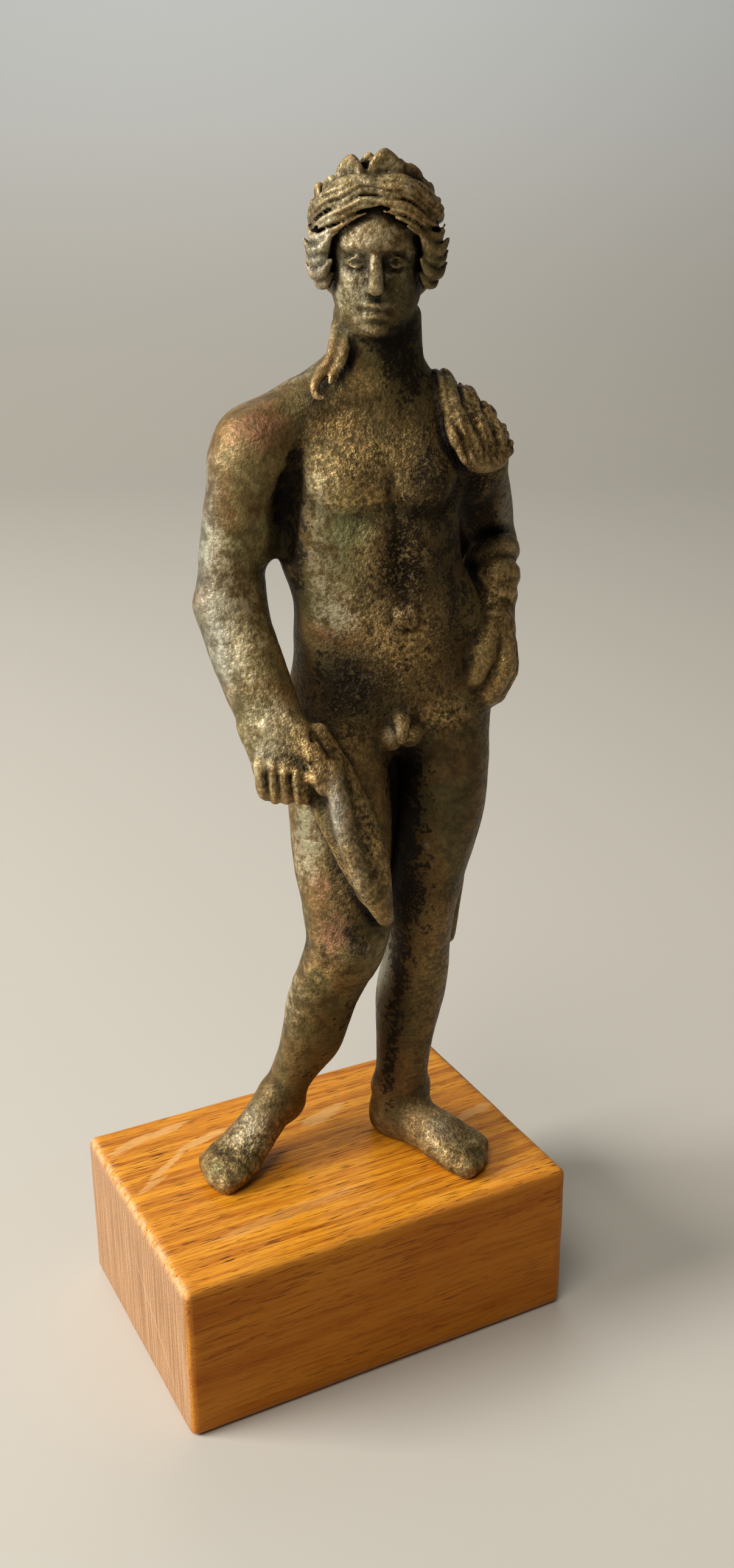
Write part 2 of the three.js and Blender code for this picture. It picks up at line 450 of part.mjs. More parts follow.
// Each leaf is [to its left, to the back, up, half its width, half its height, how far it leans askew]. It
// is an egg drawn to a point above, and its outer side is hollow.
const leaves = [
  [-2.9, -5.2, 9.4, 2, 2.7, 0.12],
  [1.1, -5.4, 9.9, 2.3, 2.8, -0.08],
  [4, -3.5, 8.7, 2, 2.5, -0.3],
  [6, -0.4, 6.9, 2, 2.3, -0.4],
  [6.9, 2.8, 5.2, 2, 2.2, -0.3],
  [5.7, 6, 3.8, 2.1, 2.1, -0.2],
  [2.2, 7.9, 3.2, 2.1, 2.1, -0.15],
  [-1.8, 8, 3.2, 2.1, 2.1, 0.15],
  [-5.2, 6.3, 3.8, 2.1, 2.1, 0.2],
  [-6.8, 3.2, 5, 2, 2.1, 0.3],
  [-6.6, -0.2, 6.8, 1.6, 2.4, 0.25],
  [-7.4, -1.8, 4.2, 1.2, 2.2, 0.35],
  [-5.2, -3.4, 7.9, 1.5, 2, 0.3],
  [-0.9, -4.4, 9.9, 1.5, 2.4, 0.1],
  [2.9, -4.2, 9.4, 1.4, 2.3, -0.25],
  [5.4, -2.2, 7.7, 1.5, 2, -0.45],
  [7.1, 1, 5.6, 1.5, 1.9, -0.4],
  [6.8, 4.6, 4.2, 1.6, 1.8, -0.3],
  [4.2, 7.4, 3, 1.6, 1.8, -0.2],
  [0.2, 8.4, 2.8, 1.6, 1.8, 0],
  [-3.6, 7.6, 3, 1.6, 1.8, 0.2],
  [-6.4, 5, 4, 1.6, 1.8, 0.3],
  [-7.3, 1.4, 5.4, 1.4, 1.9, 0.4],
].map(([across, back, up, wide, tall, askew]) => {
  const turn = Math.atan2(back - 1.4, across);
  const [ox, oy] = [Math.cos(turn), Math.sin(turn)];
  const [upright, sideways] = [Math.cos(askew), Math.sin(askew)];
  const petal = lump([0, 0, 0], [1.25, wide, tall]);
  const hollow = swell([1.5, 0, 0.2], [1.1, wide * 0.62, tall * 0.68], -1.3);
  return (x, y, z) => {
    const out = (x - across) * ox + (y - back) * oy - (z - up) * 0.22;
    const level = (y - back) * ox - (x - across) * oy;
    const height = (z - up) * upright + level * sideways;
    const share = min(max(height / tall, 0), 1);
    const over = (level * upright - (z - up) * sideways) / (1 - 0.42 * share * share);
    return petal(out, over, height) - hollow(out, over, height);
  };
});

function head(x, y, z) {
  const turn = THREE.MathUtils.degToRad(HEAD.turn);
  const dx = x - HEAD.at[0];
  const dy = y - HEAD.at[1];
  const hx = dx * Math.cos(turn) + dy * Math.sin(turn);
  const hy = dy * Math.cos(turn) - dx * Math.sin(turn);
  const hz = z - HEAD.at[2];
  let flesh = blendAll(1.4, skull(hx, hy, hz), face(hx, hy, hz)) - relief(faceRelief, hx, hy, hz);
  flesh = blendAll(0.5, flesh, nose(hx, hy, hz), eyes[0](hx, hy, hz), eyes[1](hx, hy, hz));
  const curls = min(...locks.concat(nape).map((curl) => curl(hx, hy, hz)));
  const hair = blend(hairMass(hx, hy, hz), curls, 0.4);
  const wreath = min(...leaves.map((leaf) => leaf(hx, hy, hz)));
  return blendAll(0.5, flesh, hair, wreath);
}

// One long lock comes down the right side of the neck and curls on the collarbone.
const neckLock = [
  cord(
    [[-4.4, -0.6, 118.6], [-5.9, -3.9, 114.9], [-7.2, -4.2, 113.4], [-8.2, -4.8, 112], [-8.1, -5.4, 110.8]],
    [0.9, 1, 0.85, 0.7, 0.5],
  ),
  cord(
    [[-3.7, -2.6, 118], [-4.3, -4.1, 116.4], [-4.9, -4.7, 114.8], [-6, -5, 113.2], [-6.4, -5.4, 112.4]],
    [0.7, 0.8, 0.7, 0.55, 0.4],
  ),
];
const loins = [
  cord([[2.5, -7.2, 68.4], [2.5, -8.4, 67], [2.5, -8.6, 65.8]], [1.05, 0.95, 0.7]),
  lump([1.5, -6.8, 65.6], [1.4, 1.5, 1.8]),
  lump([3.5, -6.8, 65.6], [1.4, 1.5, 1.8]),
];

// The shadowed clefts where the arms leave the trunk.
const armpits = [
  score([[-10.2, -5.8, 105], [-10.9, -5.4, 102.6], [-11.4, -4.6, 99.6]], 0.7, 1.6),
  score([[-11.4, -4.2, 100.4], [-12, -3.6, 96], [-12.2, -2.8, 91.6]], 1.4, 3),
  score([[13.4, -5, 101.4], [13.2, -3.6, 98], [13, -2.4, 94]], 1.1, 1.6),
];

// The whole casting, cut flat under the feet.
const upper = between(57, FAR * 2, (x, y, z) => {
  const body = blendAll(2.4, trunk(x, y, z), neck(x, y, z)) - relief(trunkRelief, x, y, z);
  return blendAll(2.6, body, yoke(x, y, z), rightShoulder(x, y, z), leftShoulder(x, y, z));
});
const lower = between(-FAR, 86, legs);
const arms = between(54, 112, (x, y, z) => min(rightArm(x, y, z), leftArm(x, y, z)));
const front = between(58, 74, (x, y, z) => min(...loins.map((part) => part(x, y, z))));
const clothes = between(22, 116, cloak);
const leaf = between(38, 76, held);
const crown = between(108, FAR * 2, head);
const lock = between(106, 124, (x, y, z) => blend(neckLock[0](x, y, z), neckLock[1](x, y, z), 0.4));

function casting(x, y, z) {
  const standing = blend(upper(x, y, z), lower(x, y, z), 3);
  const clefts = z > 86 && z < 110 ? relief(armpits, x, y, z) : 0;
  const flesh = blendAll(1.4, standing, arms(x, y, z), front(x, y, z)) - clefts;
  const dressed = blendAll(0.7, flesh, clothes(x, y, z), leaf(x, y, z), crown(x, y, z), lock(x, y, z));
  return max(dressed, SOLE - z);
}

// Where the planes that cut the casting into boxes lie: close together in the span that the head takes up.
function planes([low, high], [from, to]) {
  const evenly = (start, end, step) => {
    const count = Math.ceil((end - start) / step);
    return Array.from({ length: count }, (_, i) => start + (i * (end - start)) / count);
  };
  return [
    ...(low < from ? evenly(low, from, FACETS.step) : []),
    ...evenly(from, to, FACETS.fine),
    ...(to < high ? evenly(to, high, FACETS.step) : []),
    high,
  ];
}

// A square of the grid with only two opposite corners inside could be joined up in two ways. The one of its
// other corners that is nearer to the skin is taken in as well, until there is no such square left.
const HAIR = 0.001;
function settle(values, nx, ny) {
  const squares = [[1, nx], [nx, nx * ny], [nx * ny, 1]];
  let again = true;
  while (again) {
    again = false;
    for (let n = 0; n < values.length - nx * ny - nx - 1; n++) {
      for (const [u, v] of squares) {
        const [inside, far, left, right] = [n, n + u + v, n + u, n + v].map((corner) => values[corner] < 0);
        if (inside !== far || inside === left || inside === right) continue;
        const [a, b] = inside ? [n + u, n + v] : [n, n + u + v];
        values[values[a] < values[b] ? a : b] = -HAIR;
        again = true;
      }
    }
  }
}

// Leaves one body of metal: pockets of air that it closes in are filled, and loose crumbs are taken away.
// Two floods find them, of the air from the outermost corner and of the metal from the trunk's middle.
const HEART = [0, 0, 90];
function solid(values, nx, ny, heart) {
  const metal = (n) => values[n] < 0;
  const flood = (start) => {
    const reached = new Uint8Array(values.length);
    const front = [start];
    reached[start] = 1;
    while (front.length > 0) {
      const here = front.pop();
      for (const step of [1, nx, nx * ny]) {
        for (const next of [here - step, here + step]) {
          if (next < 0 || next >= values.length || reached[next] || metal(next) !== metal(start)) continue;
          reached[next] = 1;
          front.push(next);
        }
      }
    }
    return reached;
  };
  const [air, core] = [flood(0), flood(heart)];
  values.forEach((_, n) => {
    if (!air[n] && !core[n]) values[n] = metal(n) ? HAIR : -HAIR;
  });
}

// The skin of a shape as a closed mesh. Space is cut into boxes, each box that the skin passes through gets
// one corner of the mesh for each separate sheet of skin in it, and the corners round a cut edge make a face.
function skin(shape, xs, ys, zs) {
  const [nx, ny, nz] = [xs.length, ys.length, zs.length];
  const at = (i, j, k) => (k * ny + j) * nx + i;
  const values = new Float64Array(nx * ny * nz);
  for (let k = 0; k < nz; k++) {
    for (let j = 0; j < ny; j++) {
      for (let i = 0; i < nx; i++) values[at(i, j, k)] = shape(xs[i], ys[j], zs[k]);
    }
  }
  settle(values, nx, ny);
  const nearest = (planesOf, place) => planesOf.findIndex((plane) => plane > place);
  solid(values, nx, ny, at(nearest(xs, HEART[0]), nearest(ys, HEART[1]), nearest(zs, HEART[2])));
  const corner = (c) => [c & 1, (c >> 1) & 1, (c >> 2) & 1];
  const edges = [];
  for (let a = 0; a < 8; a++) {
    for (const bit of [1, 2, 4]) {
      if (!(a & bit)) edges.push([a, a | bit]);
    }
  }
  const sides = [];
  for (const bit of [1, 2, 4]) {
    for (const value of [0, bit]) {
      const around = edges.map((edge, e) => e).filter((e) => edges[e].every((c) => (c & bit) === value));
      sides.push(around);
    }
  }
  const positions = [];
  const faces = [];
  const owners = new Map();
  for (let k = 0; k < nz - 1; k++) {
    for (let j = 0; j < ny - 1; j++) {
      for (let i = 0; i < nx - 1; i++) {
        const value = Array.from({ length: 8 }, (_, c) => {
          const [di, dj, dk] = corner(c);
          return values[at(i + di, j + dj, k + dk)];
        });
        const inside = value.map((v) => v < 0);
        const cut = edges.map(([a, b]) => inside[a] !== inside[b]);
        if (!cut.includes(true)) continue;
        const sheet = edges.map((_, e) => e);
        const find = (e) => (sheet[e] === e ? e : find(sheet[e]));
        for (const around of sides) {
          const [first, second] = around.filter((e) => cut[e]);
          if (first !== undefined) sheet[find(first)] = find(second);
        }
        const sheets = new Map();
        edges.forEach(([a, b], e) => {
          if (!cut[e]) return;
          const root = find(e);
          if (!sheets.has(root)) sheets.set(root, { sum: [0, 0, 0], count: 0 });
          const own = sheets.get(root);
          const t = value[a] / (value[a] - value[b]);
          const [ax, ay, az] = corner(a);
          const [bx, by, bz] = corner(b);
          own.sum[0] += THREE.MathUtils.lerp(xs[i + ax], xs[i + bx], t);
          own.sum[1] += THREE.MathUtils.lerp(ys[j + ay], ys[j + by], t);
          own.sum[2] += THREE.MathUtils.lerp(zs[k + az], zs[k + bz], t);
          own.count += 1;
        });
        for (const own of sheets.values()) {
          own.index = positions.length / 3;
          positions.push(...own.sum.map((s) => s / own.count));
        }
        const box = at(i, j, k);
        edges.forEach((_, e) => {
          if (cut[e]) owners.set(box * 12 + e, sheets.get(find(e)).index);
        });
      }
    }
  }
  const edgeOf = (a, b) => edges.findIndex(([p, q]) => p === a && q === b);
  const directions = [1, 2, 4].map((bit) => {
    const [u, v] = [[2, 4], [4, 1], [1, 2]][[1, 2, 4].indexOf(bit)];
    return { bit, ring: [0, u, u | v, v], e: [0, u, u | v, v].map((c) => edgeOf(c, c | bit)) };
  });
  const step = { 1: 1, 2: nx, 4: nx * ny };
  for (let k = 0; k < nz; k++) {
    for (let j = 0; j < ny; j++) {
      for (let i = 0; i < nx; i++) {
        for (const { bit, ring, e } of directions) {
          const here = at(i, j, k);
          const [ei, ej, ek] = corner(bit);
          if (i + ei >= nx || j + ej >= ny || k + ek >= nz) continue;
          const a = values[here] < 0;
          if (a === values[here + step[bit]] < 0) continue;
          const quad = ring.map((c, n) => {
            const shift = (c & 1 ? 1 : 0) + (c & 2 ? nx : 0) + (c & 4 ? nx * ny : 0);
            return owners.get((here - shift) * 12 + e[n]);
          });
          if (!a) quad.reverse();
          faces.push(quad);
        }
      }
    }
  }
  return { positions, faces };
}

// Each four-cornered face is split along its shorter diagonal.
function triangles({ positions, faces }) {
  const span = (a, b) => hypot(...[0, 1, 2].map((n) => positions[a * 3 + n] - positions[b * 3 + n]));
  return faces.flatMap(([a, b, c, d]) => {
    if (span(a, c) < span(b, d)) return [[a, b, c], [a, c, d]];
    return [[b, c, d], [b, d, a]];
  });
}

// Thins a closed skin to `keep` triangles. Each corner remembers the planes of the triangles it has stood for,
// and the edge whose two corners can become one with the least distance to those planes goes first.
const FLAT = 1e-6;
const MOST_TURN = 0.25;
function thin(positions, faces, keep, worth) {
  const point = (v) => positions.slice(v * 3, v * 3 + 3);
  const normalOf = (a, b, c) => {
    const u = [b[0] - a[0], b[1] - a[1], b[2] - a[2]];
    const v = [c[0] - a[0], c[1] - a[1], c[2] - a[2]];
    return [u[1] * v[2] - u[2] * v[1], u[2] * v[0] - u[0] * v[2], u[0] * v[1] - u[1] * v[0]];
  };
  const places = Array.from({ length: positions.length / 3 }, (_, v) => point(v));
  const memory = places.map(() => new Float64Array(10));
  const around = places.map(() => new Set());
  faces.forEach((face, f) => {
    const [a, b, c] = face.map((v) => places[v]);
    const n = normalOf(a, b, c);
    const size = hypot(...n) || 1;
    const [p, q, r] = n.map((value) => value / size);
    const s = -(p * a[0] + q * a[1] + r * a[2]);
    const terms = [p * p, p * q, p * r, p * s, q * q, q * r, q * s, r * r, r * s, s * s];
    const weight = size * worth(...a);
    for (const v of face) {
      around[v].add(f);
      terms.forEach((term, i) => { memory[v][i] += term * weight; });
    }
  });
  const costAt = (m, [x, y, z]) => m[0] * x * x + 2 * m[1] * x * y + 2 * m[2] * x * z + 2 * m[3] * x
    + m[4] * y * y + 2 * m[5] * y * z + 2 * m[6] * y + m[7] * z * z + 2 * m[8] * z + m[9];
  const bestPlace = (m, a, b) => {
    const middle = a.map((value, n) => (value + b[n]) / 2);
    const planesOf = new THREE.Matrix3(m[0], m[1], m[2], m[1], m[4], m[5], m[2], m[5], m[7]);
    if (abs(planesOf.determinant()) < FLAT) return middle;
    const place = new THREE.Vector3(-m[3], -m[6], -m[8]).applyMatrix3(planesOf.invert()).toArray();
    const span = hypot(...a.map((value, n) => value - b[n]));
    return hypot(...place.map((value, n) => value - middle[n])) < span ? place : middle;
  };
  const neighbours = (v) => new Set([...around[v]].flatMap((f) => faces[f]).filter((other) => other !== v));
  const stamp = new Int32Array(places.length);
  const queue = [];
  const swap = (i, j) => { [queue[i], queue[j]] = [queue[j], queue[i]]; };
  const push = (a, b) => {
    const m = memory[a].map((value, n) => value + memory[b][n]);
    const place = bestPlace(m, places[a], places[b]);
    queue.push({ a, b, place, cost: costAt(m, place), stamps: [stamp[a], stamp[b]] });
    let i = queue.length - 1;
    while (i > 0 && queue[(i - 1) >> 1].cost > queue[i].cost) {
      swap(i, (i - 1) >> 1);
      i = (i - 1) >> 1;
    }
  };
  const pop = () => {
    swap(0, queue.length - 1);
    const top = queue.pop();
    let i = 0;
    for (;;) {
      let least = i;
      for (const child of [2 * i + 1, 2 * i + 2]) {
        if (child < queue.length && queue[child].cost < queue[least].cost) least = child;
      }
      if (least === i) return top;
      swap(i, least);
      i = least;
    }
  };
  places.forEach((_, v) => neighbours(v).forEach((other) => { if (v < other) push(v, other); }));
  let left = faces.length;
  while (left > keep && queue.length > 0) {
    const { a, b, place, stamps } = pop();
    if (stamps[0] !== stamp[a] || stamps[1] !== stamp[b]) continue;
    const nearA = neighbours(a);
    const shared = [...neighbours(b)].filter((v) => nearA.has(v));
    if (shared.length !== 2) continue;
    const flips = [a, b].some((v) => [...around[v]].some((f) => {
      if (faces[f].includes(a) && faces[f].includes(b)) return false;
      const before = normalOf(...faces[f].map((w) => places[w]));
      const after = normalOf(...faces[f].map((w) => (w === v ? place : places[w])));
      const turned = before[0] * after[0] + before[1] * after[1] + before[2] * after[2];
      return turned < MOST_TURN * hypot(...before) * hypot(...after);
    }));
    if (flips) continue;
    for (const f of [...around[b]]) {
      if (faces[f].includes(a)) {
        for (const v of faces[f]) around[v].delete(f);
        faces[f] = null;
        left -= 1;
      } else {
        faces[f] = faces[f].map((v) => (v === b ? a : v));
        around[a].add(f);
      }
    }
    memory[b].forEach((value, n) => { memory[a][n] += value; });
    places[a] = place;
    around[b].clear();
    stamp[b] = -1;
    stamp[a] += 1;
    const ring = neighbours(a);
    for (const v of ring) push(a, v);
  }
  const used = new Map();
  const index = [];
  const kept = [];
  for (const face of faces) {
    if (!face) continue;
    for (const v of face) {
      if (!used.has(v)) {
        used.set(v, used.size);
        kept.push(...places[v]);
      }
      index.push(used.get(v));
    }
  }
  return { kept, index };
}

function figure() {
  const [xs, ys, zs] = FACETS.spans.map((span, n) => planes([FIGURE.low[n], FIGURE.high[n]], span));
  const fine = skin(casting, xs, ys, zs);
  const worth = (x, y, z) => (z > FACETS.spans[2][0] ? FACETS.headWorth : 1);
  const { kept, index } = thin(fine.positions, triangles(fine), FACETS.keep, worth);
  const geometry = new THREE.BufferGeometry();
  geometry.setAttribute("position", new THREE.Float32BufferAttribute(kept, 3));
  geometry.setIndex(index);
  const bronze = new THREE.MeshStandardMaterial({ color: 0x6b5a38, roughness: 0.42, metalness: 0.85 });
  const body = new THREE.Mesh(geometry, bronze);
  body.name = "figure";
  body.position.set(STAND.x, STAND.y, BLOCK.height);
  body.rotation.z = THREE.MathUtils.degToRad(STAND.turn);
  return body;
}

// The block, chamfered on all its edges.
function oakBlock() {
  const { length, depth, height, chamfer } = BLOCK;
  const [hx, hy] = [length / 2 - chamfer, depth / 2 - chamfer];
  const outline = new THREE.Shape();
  outline.moveTo(-hx, -hy);
  outline.lineTo(hx, -hy);
  outline.lineTo(hx, hy);
  outline.lineTo(-hx, hy);
  outline.closePath();
  const geometry = new THREE.ExtrudeGeometry(outline, {
    depth: height - 2 * chamfer,
    bevelEnabled: true,
    bevelThickness: chamfer,
    bevelSize: chamfer,
    bevelSegments: 1,
  });
  geometry.translate(0, 0, chamfer);
  const oak = new THREE.MeshStandardMaterial({ color: 0xa9652c, roughness: 0.45, metalness: 0 });
  const block = new THREE.Mesh(geometry, oak);
  block.name = "oak_block";
  return block;
}

const statuette = new THREE.Group();
statuette.add(figure(), oakBlock());

export default statuette;
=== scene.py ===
# A small cast bronze of a standing nude youth with a leafy wreath, on a block of oak.
import math

import bpy
import numpy as np
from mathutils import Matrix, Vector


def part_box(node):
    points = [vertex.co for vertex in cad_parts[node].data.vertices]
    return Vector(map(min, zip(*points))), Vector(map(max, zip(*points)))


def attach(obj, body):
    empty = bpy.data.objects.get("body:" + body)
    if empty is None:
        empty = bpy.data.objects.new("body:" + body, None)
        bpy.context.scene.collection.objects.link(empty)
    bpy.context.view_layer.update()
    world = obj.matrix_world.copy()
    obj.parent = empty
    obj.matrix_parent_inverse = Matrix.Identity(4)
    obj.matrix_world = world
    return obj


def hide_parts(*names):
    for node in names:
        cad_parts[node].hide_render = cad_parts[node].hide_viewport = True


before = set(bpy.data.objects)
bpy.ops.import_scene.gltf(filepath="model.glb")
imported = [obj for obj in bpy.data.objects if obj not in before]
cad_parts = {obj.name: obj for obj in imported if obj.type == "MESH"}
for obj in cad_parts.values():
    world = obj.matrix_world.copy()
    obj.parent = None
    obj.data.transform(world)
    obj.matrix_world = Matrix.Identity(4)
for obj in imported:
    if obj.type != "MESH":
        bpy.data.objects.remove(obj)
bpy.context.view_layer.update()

import openvdb
from mathutils import Matrix

MM = 0.001


# The oak block: a sawn offcut with its edges planed round and its upper left edge worn bumpy, under a thin
# satin varnish. The grain runs along its length, and its upper side is cut along the rays.
OAK_ROUND = 1.1
OAK_GRID = 0.8
RIM_WIDE = 0.7
EDGE_WEAR = 0.10
RIM_WEAR = 0.16


def lattice_noise(points, size, seed):
    """Random heights on a grid of the given size, eased into each other: from -1 to 1 at each point."""
    heights = np.random.default_rng(seed).random((32, 32, 32))
    spot = points / size
    cell = np.floor(spot).astype(int)
    ease = (spot - cell) ** 2 * (3 - 2 * (spot - cell))
    total = np.zeros(len(points))
    for corner in range(8):
        bits = np.array([corner & 1, corner >> 1 & 1, corner >> 2 & 1])
        share = np.prod(np.where(bits, ease, 1 - ease), axis=1)
        index = (cell + bits) & 31
        total += share * heights[index[:, 0], index[:, 1], index[:, 2]]
    return total * 2 - 1


def put(name, data):
    """An object at the origin that holds the data."""
    thing = bpy.data.objects.new(name, data)
    bpy.context.scene.collection.objects.link(thing)
    return thing


def put_marks(mesh, marks):
    """One number for each corner of the mesh, under each mark's name."""
    for mark, values in marks.items():
        mesh.attributes.new(mark, "FLOAT", "POINT").data.foreach_set("value", values.astype(np.float32))


def put_mesh(name, points, faces):
    """A smooth-shaded object from points in millimetres."""
    mesh = bpy.data.meshes.new(name)
    mesh.from_pydata((points * MM).tolist(), [], faces.tolist())
    mesh.shade_smooth()
    return put(name, mesh)


def rounded_block(low, high, radius, step):
    """Six grids that share their rims, pulled in so that every edge is a quarter round of one radius."""
    middle = (low + high) / 2
    half = (high - low) / 2
    lines = []
    for reach in half:
        inner = np.linspace(radius - reach, reach - radius, int(2 * reach / step))
        arc = np.tan(np.linspace(0, math.pi / 4, 6))[1:] * radius
        lines.append(np.concatenate([(radius - reach) - arc[::-1], inner, (reach - radius) + arc]))
    points, faces, count = [], [], 0
    for axis in range(3):
        u, v = (axis + 1) % 3, (axis + 2) % 3
        for side in (-1, 1):
            grid_u, grid_v = np.meshgrid(lines[u], lines[v], indexing="ij")
            patch = np.empty(grid_u.shape + (3,))
            patch[..., axis], patch[..., u], patch[..., v] = side * half[axis], grid_u, grid_v
            index = np.arange(grid_u.size).reshape(grid_u.shape) + count
            quads = np.stack([index[:-1, :-1], index[1:, :-1], index[1:, 1:], index[:-1, 1:]], axis=-1)
            faces.append(quads.reshape(-1, 4)[:, ::side])
            points.append(patch.reshape(-1, 3))
            count += grid_u.size
    points = np.concatenate(points)
    core = np.clip(points, radius - half, half - radius)
    out = points - core
    points = core + out / np.linalg.norm(out, axis=1)[:, None] * radius
    _, first, joined = np.unique(np.round(points, 5), axis=0, return_index=True, return_inverse=True)
    return points[first] + middle, joined.ravel()[np.concatenate(faces)], (out / radius)[first]


oak_low, oak_high = (np.array(corner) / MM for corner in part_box("oak_block"))
oak_points, oak_faces, oak_out = rounded_block(oak_low, oak_high, OAK_ROUND, OAK_GRID)
oak_edge = np.clip((np.abs(oak_out) > 0.05).sum(axis=1) - 1, 0, 1)
from_left = (oak_points[:, 0] - oak_low[0]) / RIM_WIDE
from_top = (oak_points[:, 2] - oak_high[2]) / RIM_WIDE
left_rim = np.exp(-from_left ** 2 - from_top ** 2)
oak_wear = EDGE_WEAR * oak_edge * (0.5 + 0.5 * lattice_noise(oak_points, 5.0, 3))
oak_wear += RIM_WEAR * left_rim * (0.5 + 0.5 * lattice_noise(oak_points, 1.3, 4))
oak_inward = (oak_low + oak_high) / 2 - oak_points
oak_inward /= np.linalg.norm(oak_inward, axis=1)[:, None]
oak_points = oak_points + oak_inward * oak_wear[:, None]
oak = put_mesh("oak_block_planed", oak_points, oak_faces)
put_marks(oak.data, {"edge": oak_edge, "worn_rim_and_highlight": left_rim})


class Paint:
    """A material built call by call: each call adds one node and returns its result."""

    def __init__(self, name):
        self.material = bpy.data.materials.new(name)
        self.material.use_nodes = True
        self.tree = self.material.node_tree
        self.tree.nodes.clear()
        self.shader = self.tree.nodes.new("ShaderNodeBsdfPrincipled")
        output = self.tree.nodes.new("ShaderNodeOutputMaterial")
        self.tree.links.new(self.shader.outputs[0], output.inputs[0])
        self.place = self.tree.nodes.new("ShaderNodeTexCoord").outputs["Object"]

    def give(self, socket, value):
        if isinstance(value, bpy.types.NodeSocket):
            self.tree.links.new(value, socket)
        elif isinstance(value, tuple) and len(value) == 3 and len(socket.default_value) == 4:
            socket.default_value = (*value, 1)
        else:
            socket.default_value = value

    def set(self, **values):
        for name, value in values.items():
            self.give(self.shader.inputs[name.replace("_", " ")], value)

    def math(self, work, *values):
        node = self.tree.nodes.new("ShaderNodeMath")
        node.operation = work
        for socket, value in zip(node.inputs, values):
            self.give(socket, value)
        return node.outputs[0]

    def times(self, first, *others):
        """The product of all that is given."""
        for other in others:
            first = self.math("MULTIPLY", first, other)
        return first

    def length(self, spot):
        """The root of the sum of the three squares: how far a point lies from nothing."""
        node = self.tree.nodes.new("ShaderNodeVectorMath")
        node.operation = "LENGTH"
        self.give(node.inputs[0], spot)
        return node.outputs["Value"]

    def mapped(self, scale=(1, 1, 1), turn=(0, 0, 0), shift=(0, 0, 0)):
        """Object coordinates in millimetres, shifted, turned and scaled."""
        node = self.tree.nodes.new("ShaderNodeMapping")
        node.vector_type = "TEXTURE"
        self.give(node.inputs[0], self.place)
        node.inputs["Location"].default_value = tuple(value * MM for value in shift)
        node.inputs["Rotation"].default_value = tuple(math.radians(value) for value in turn)
        node.inputs["Scale"].default_value = tuple(value * MM for value in scale)
        return node.outputs[0]

    def noise(self, size, detail=3.0, rough=0.55, bend=0.0, turn=(0, 0, 0), shift=(0, 0, 0)):
        """Cloudy noise, as wide as `size` in millimetres, one width or one for each way."""
        sizes = size if isinstance(size, tuple) else (size, size, size)
        node = self.tree.nodes.new("ShaderNodeTexNoise")
        self.give(node.inputs["Vector"], self.mapped(sizes, turn, shift))
        node.inputs["Scale"].default_value = 1
        node.inputs["Detail"].default_value = detail
        node.inputs["Roughness"].default_value = rough
        node.inputs["Distortion"].default_value = bend
        return node.outputs["Fac"]

    def cells(self, size, shift=(0, 0, 0)):
        """Distance to the nearest of scattered points, as a share of their spacing in millimetres."""
        node = self.tree.nodes.new("ShaderNodeTexVoronoi")
        self.give(node.inputs["Vector"], self.mapped((size, size, size), shift=shift))
        node.inputs["Scale"].default_value = 1
        return node.outputs["Distance"]

    def ramp(self, value, low, high, start=0.0, end=1.0):
        """From start to end as the value goes from low to high: 3 times its square less twice its cube."""
        node = self.tree.nodes.new("ShaderNodeMapRange")
        node.interpolation_type = "SMOOTHSTEP"
        self.give(node.inputs[0], value)
        for socket, number in zip(list(node.inputs)[1:5], (low, high, start, end)):
            socket.default_value = number
        return node.outputs[0]

    def blend(self, share, under, over, way="MIX"):
        node = self.tree.nodes.new("ShaderNodeMix")
        node.data_type = "RGBA"
        node.blend_type = way
        self.give(node.inputs[0], share)
        self.give(node.inputs[6], under)
        self.give(node.inputs[7], over)
        return node.outputs[2]

    def mark(self, name):
        node = self.tree.nodes.new("ShaderNodeAttribute")
        node.attribute_name = name
        return node.outputs["Fac"]

    def bump(self, height, depth, under=None):
        """A bump of the given depth in millimetres where the height goes from 0 to 1."""
        node = self.tree.nodes.new("ShaderNodeBump")
        node.inputs["Distance"].default_value = depth * MM
        self.give(node.inputs["Height"], height)
        if under is not None:
            self.give(node.inputs["Normal"], under)
        return node.outputs[0]


varnish = Paint("oak_satin")
wander = varnish.noise((26, 9, 9), 2)
rings = varnish.noise((40, 1.5, 6), 3, 0.6, 0.4)
streaks = varnish.noise((13, 0.34, 0.5), 3, 0.65)
pores = varnish.ramp(varnish.noise((3.4, 0.2, 0.24), 2, 0.5), 0.58, 0.66)
pore_bands = varnish.ramp(varnish.noise((50, 1.6, 5), 2), 0.42, 0.6)
oak_tone = varnish.blend(varnish.ramp(rings, 0.34, 0.66), (0.44, 0.125, 0.004), (0.76, 0.30, 0.016))
oak_tone = varnish.blend(varnish.ramp(streaks, 0.46, 0.72, 0, 0.6), oak_tone, (0.82, 0.385, 0.05))
oak_tone = varnish.blend(varnish.ramp(streaks, 0.30, 0.46, 0.6, 0), oak_tone, (0.22, 0.05, 0.002))
oak_tone = varnish.blend(varnish.ramp(wander, 0.3, 0.7, 0, 0.3), oak_tone, (0.52, 0.145, 0.006))
pore_share = varnish.times(pores, varnish.ramp(pore_bands, 0, 1, 0.25, 0.85))
oak_tone = varnish.blend(pore_share, oak_tone, (0.085, 0.024, 0.003))


def ray_fleck(x, y, turn, length, width, strength):
    """A pale ray: full where a wavering point lies within an oval on the block's upper side, then fading."""
    spot = varnish.mapped((length / 2, width / 2, 1), (0, 0, turn), (x, y, oak_high[2]))
    waver = varnish.ramp(varnish.noise((3, 0.6, 1), 2), 0.2, 0.8, -0.3, 0.3)
    wavy = varnish.math("ADD", varnish.length(spot), waver)
    return varnish.ramp(wavy, 0.75, 1.1, strength, 0)


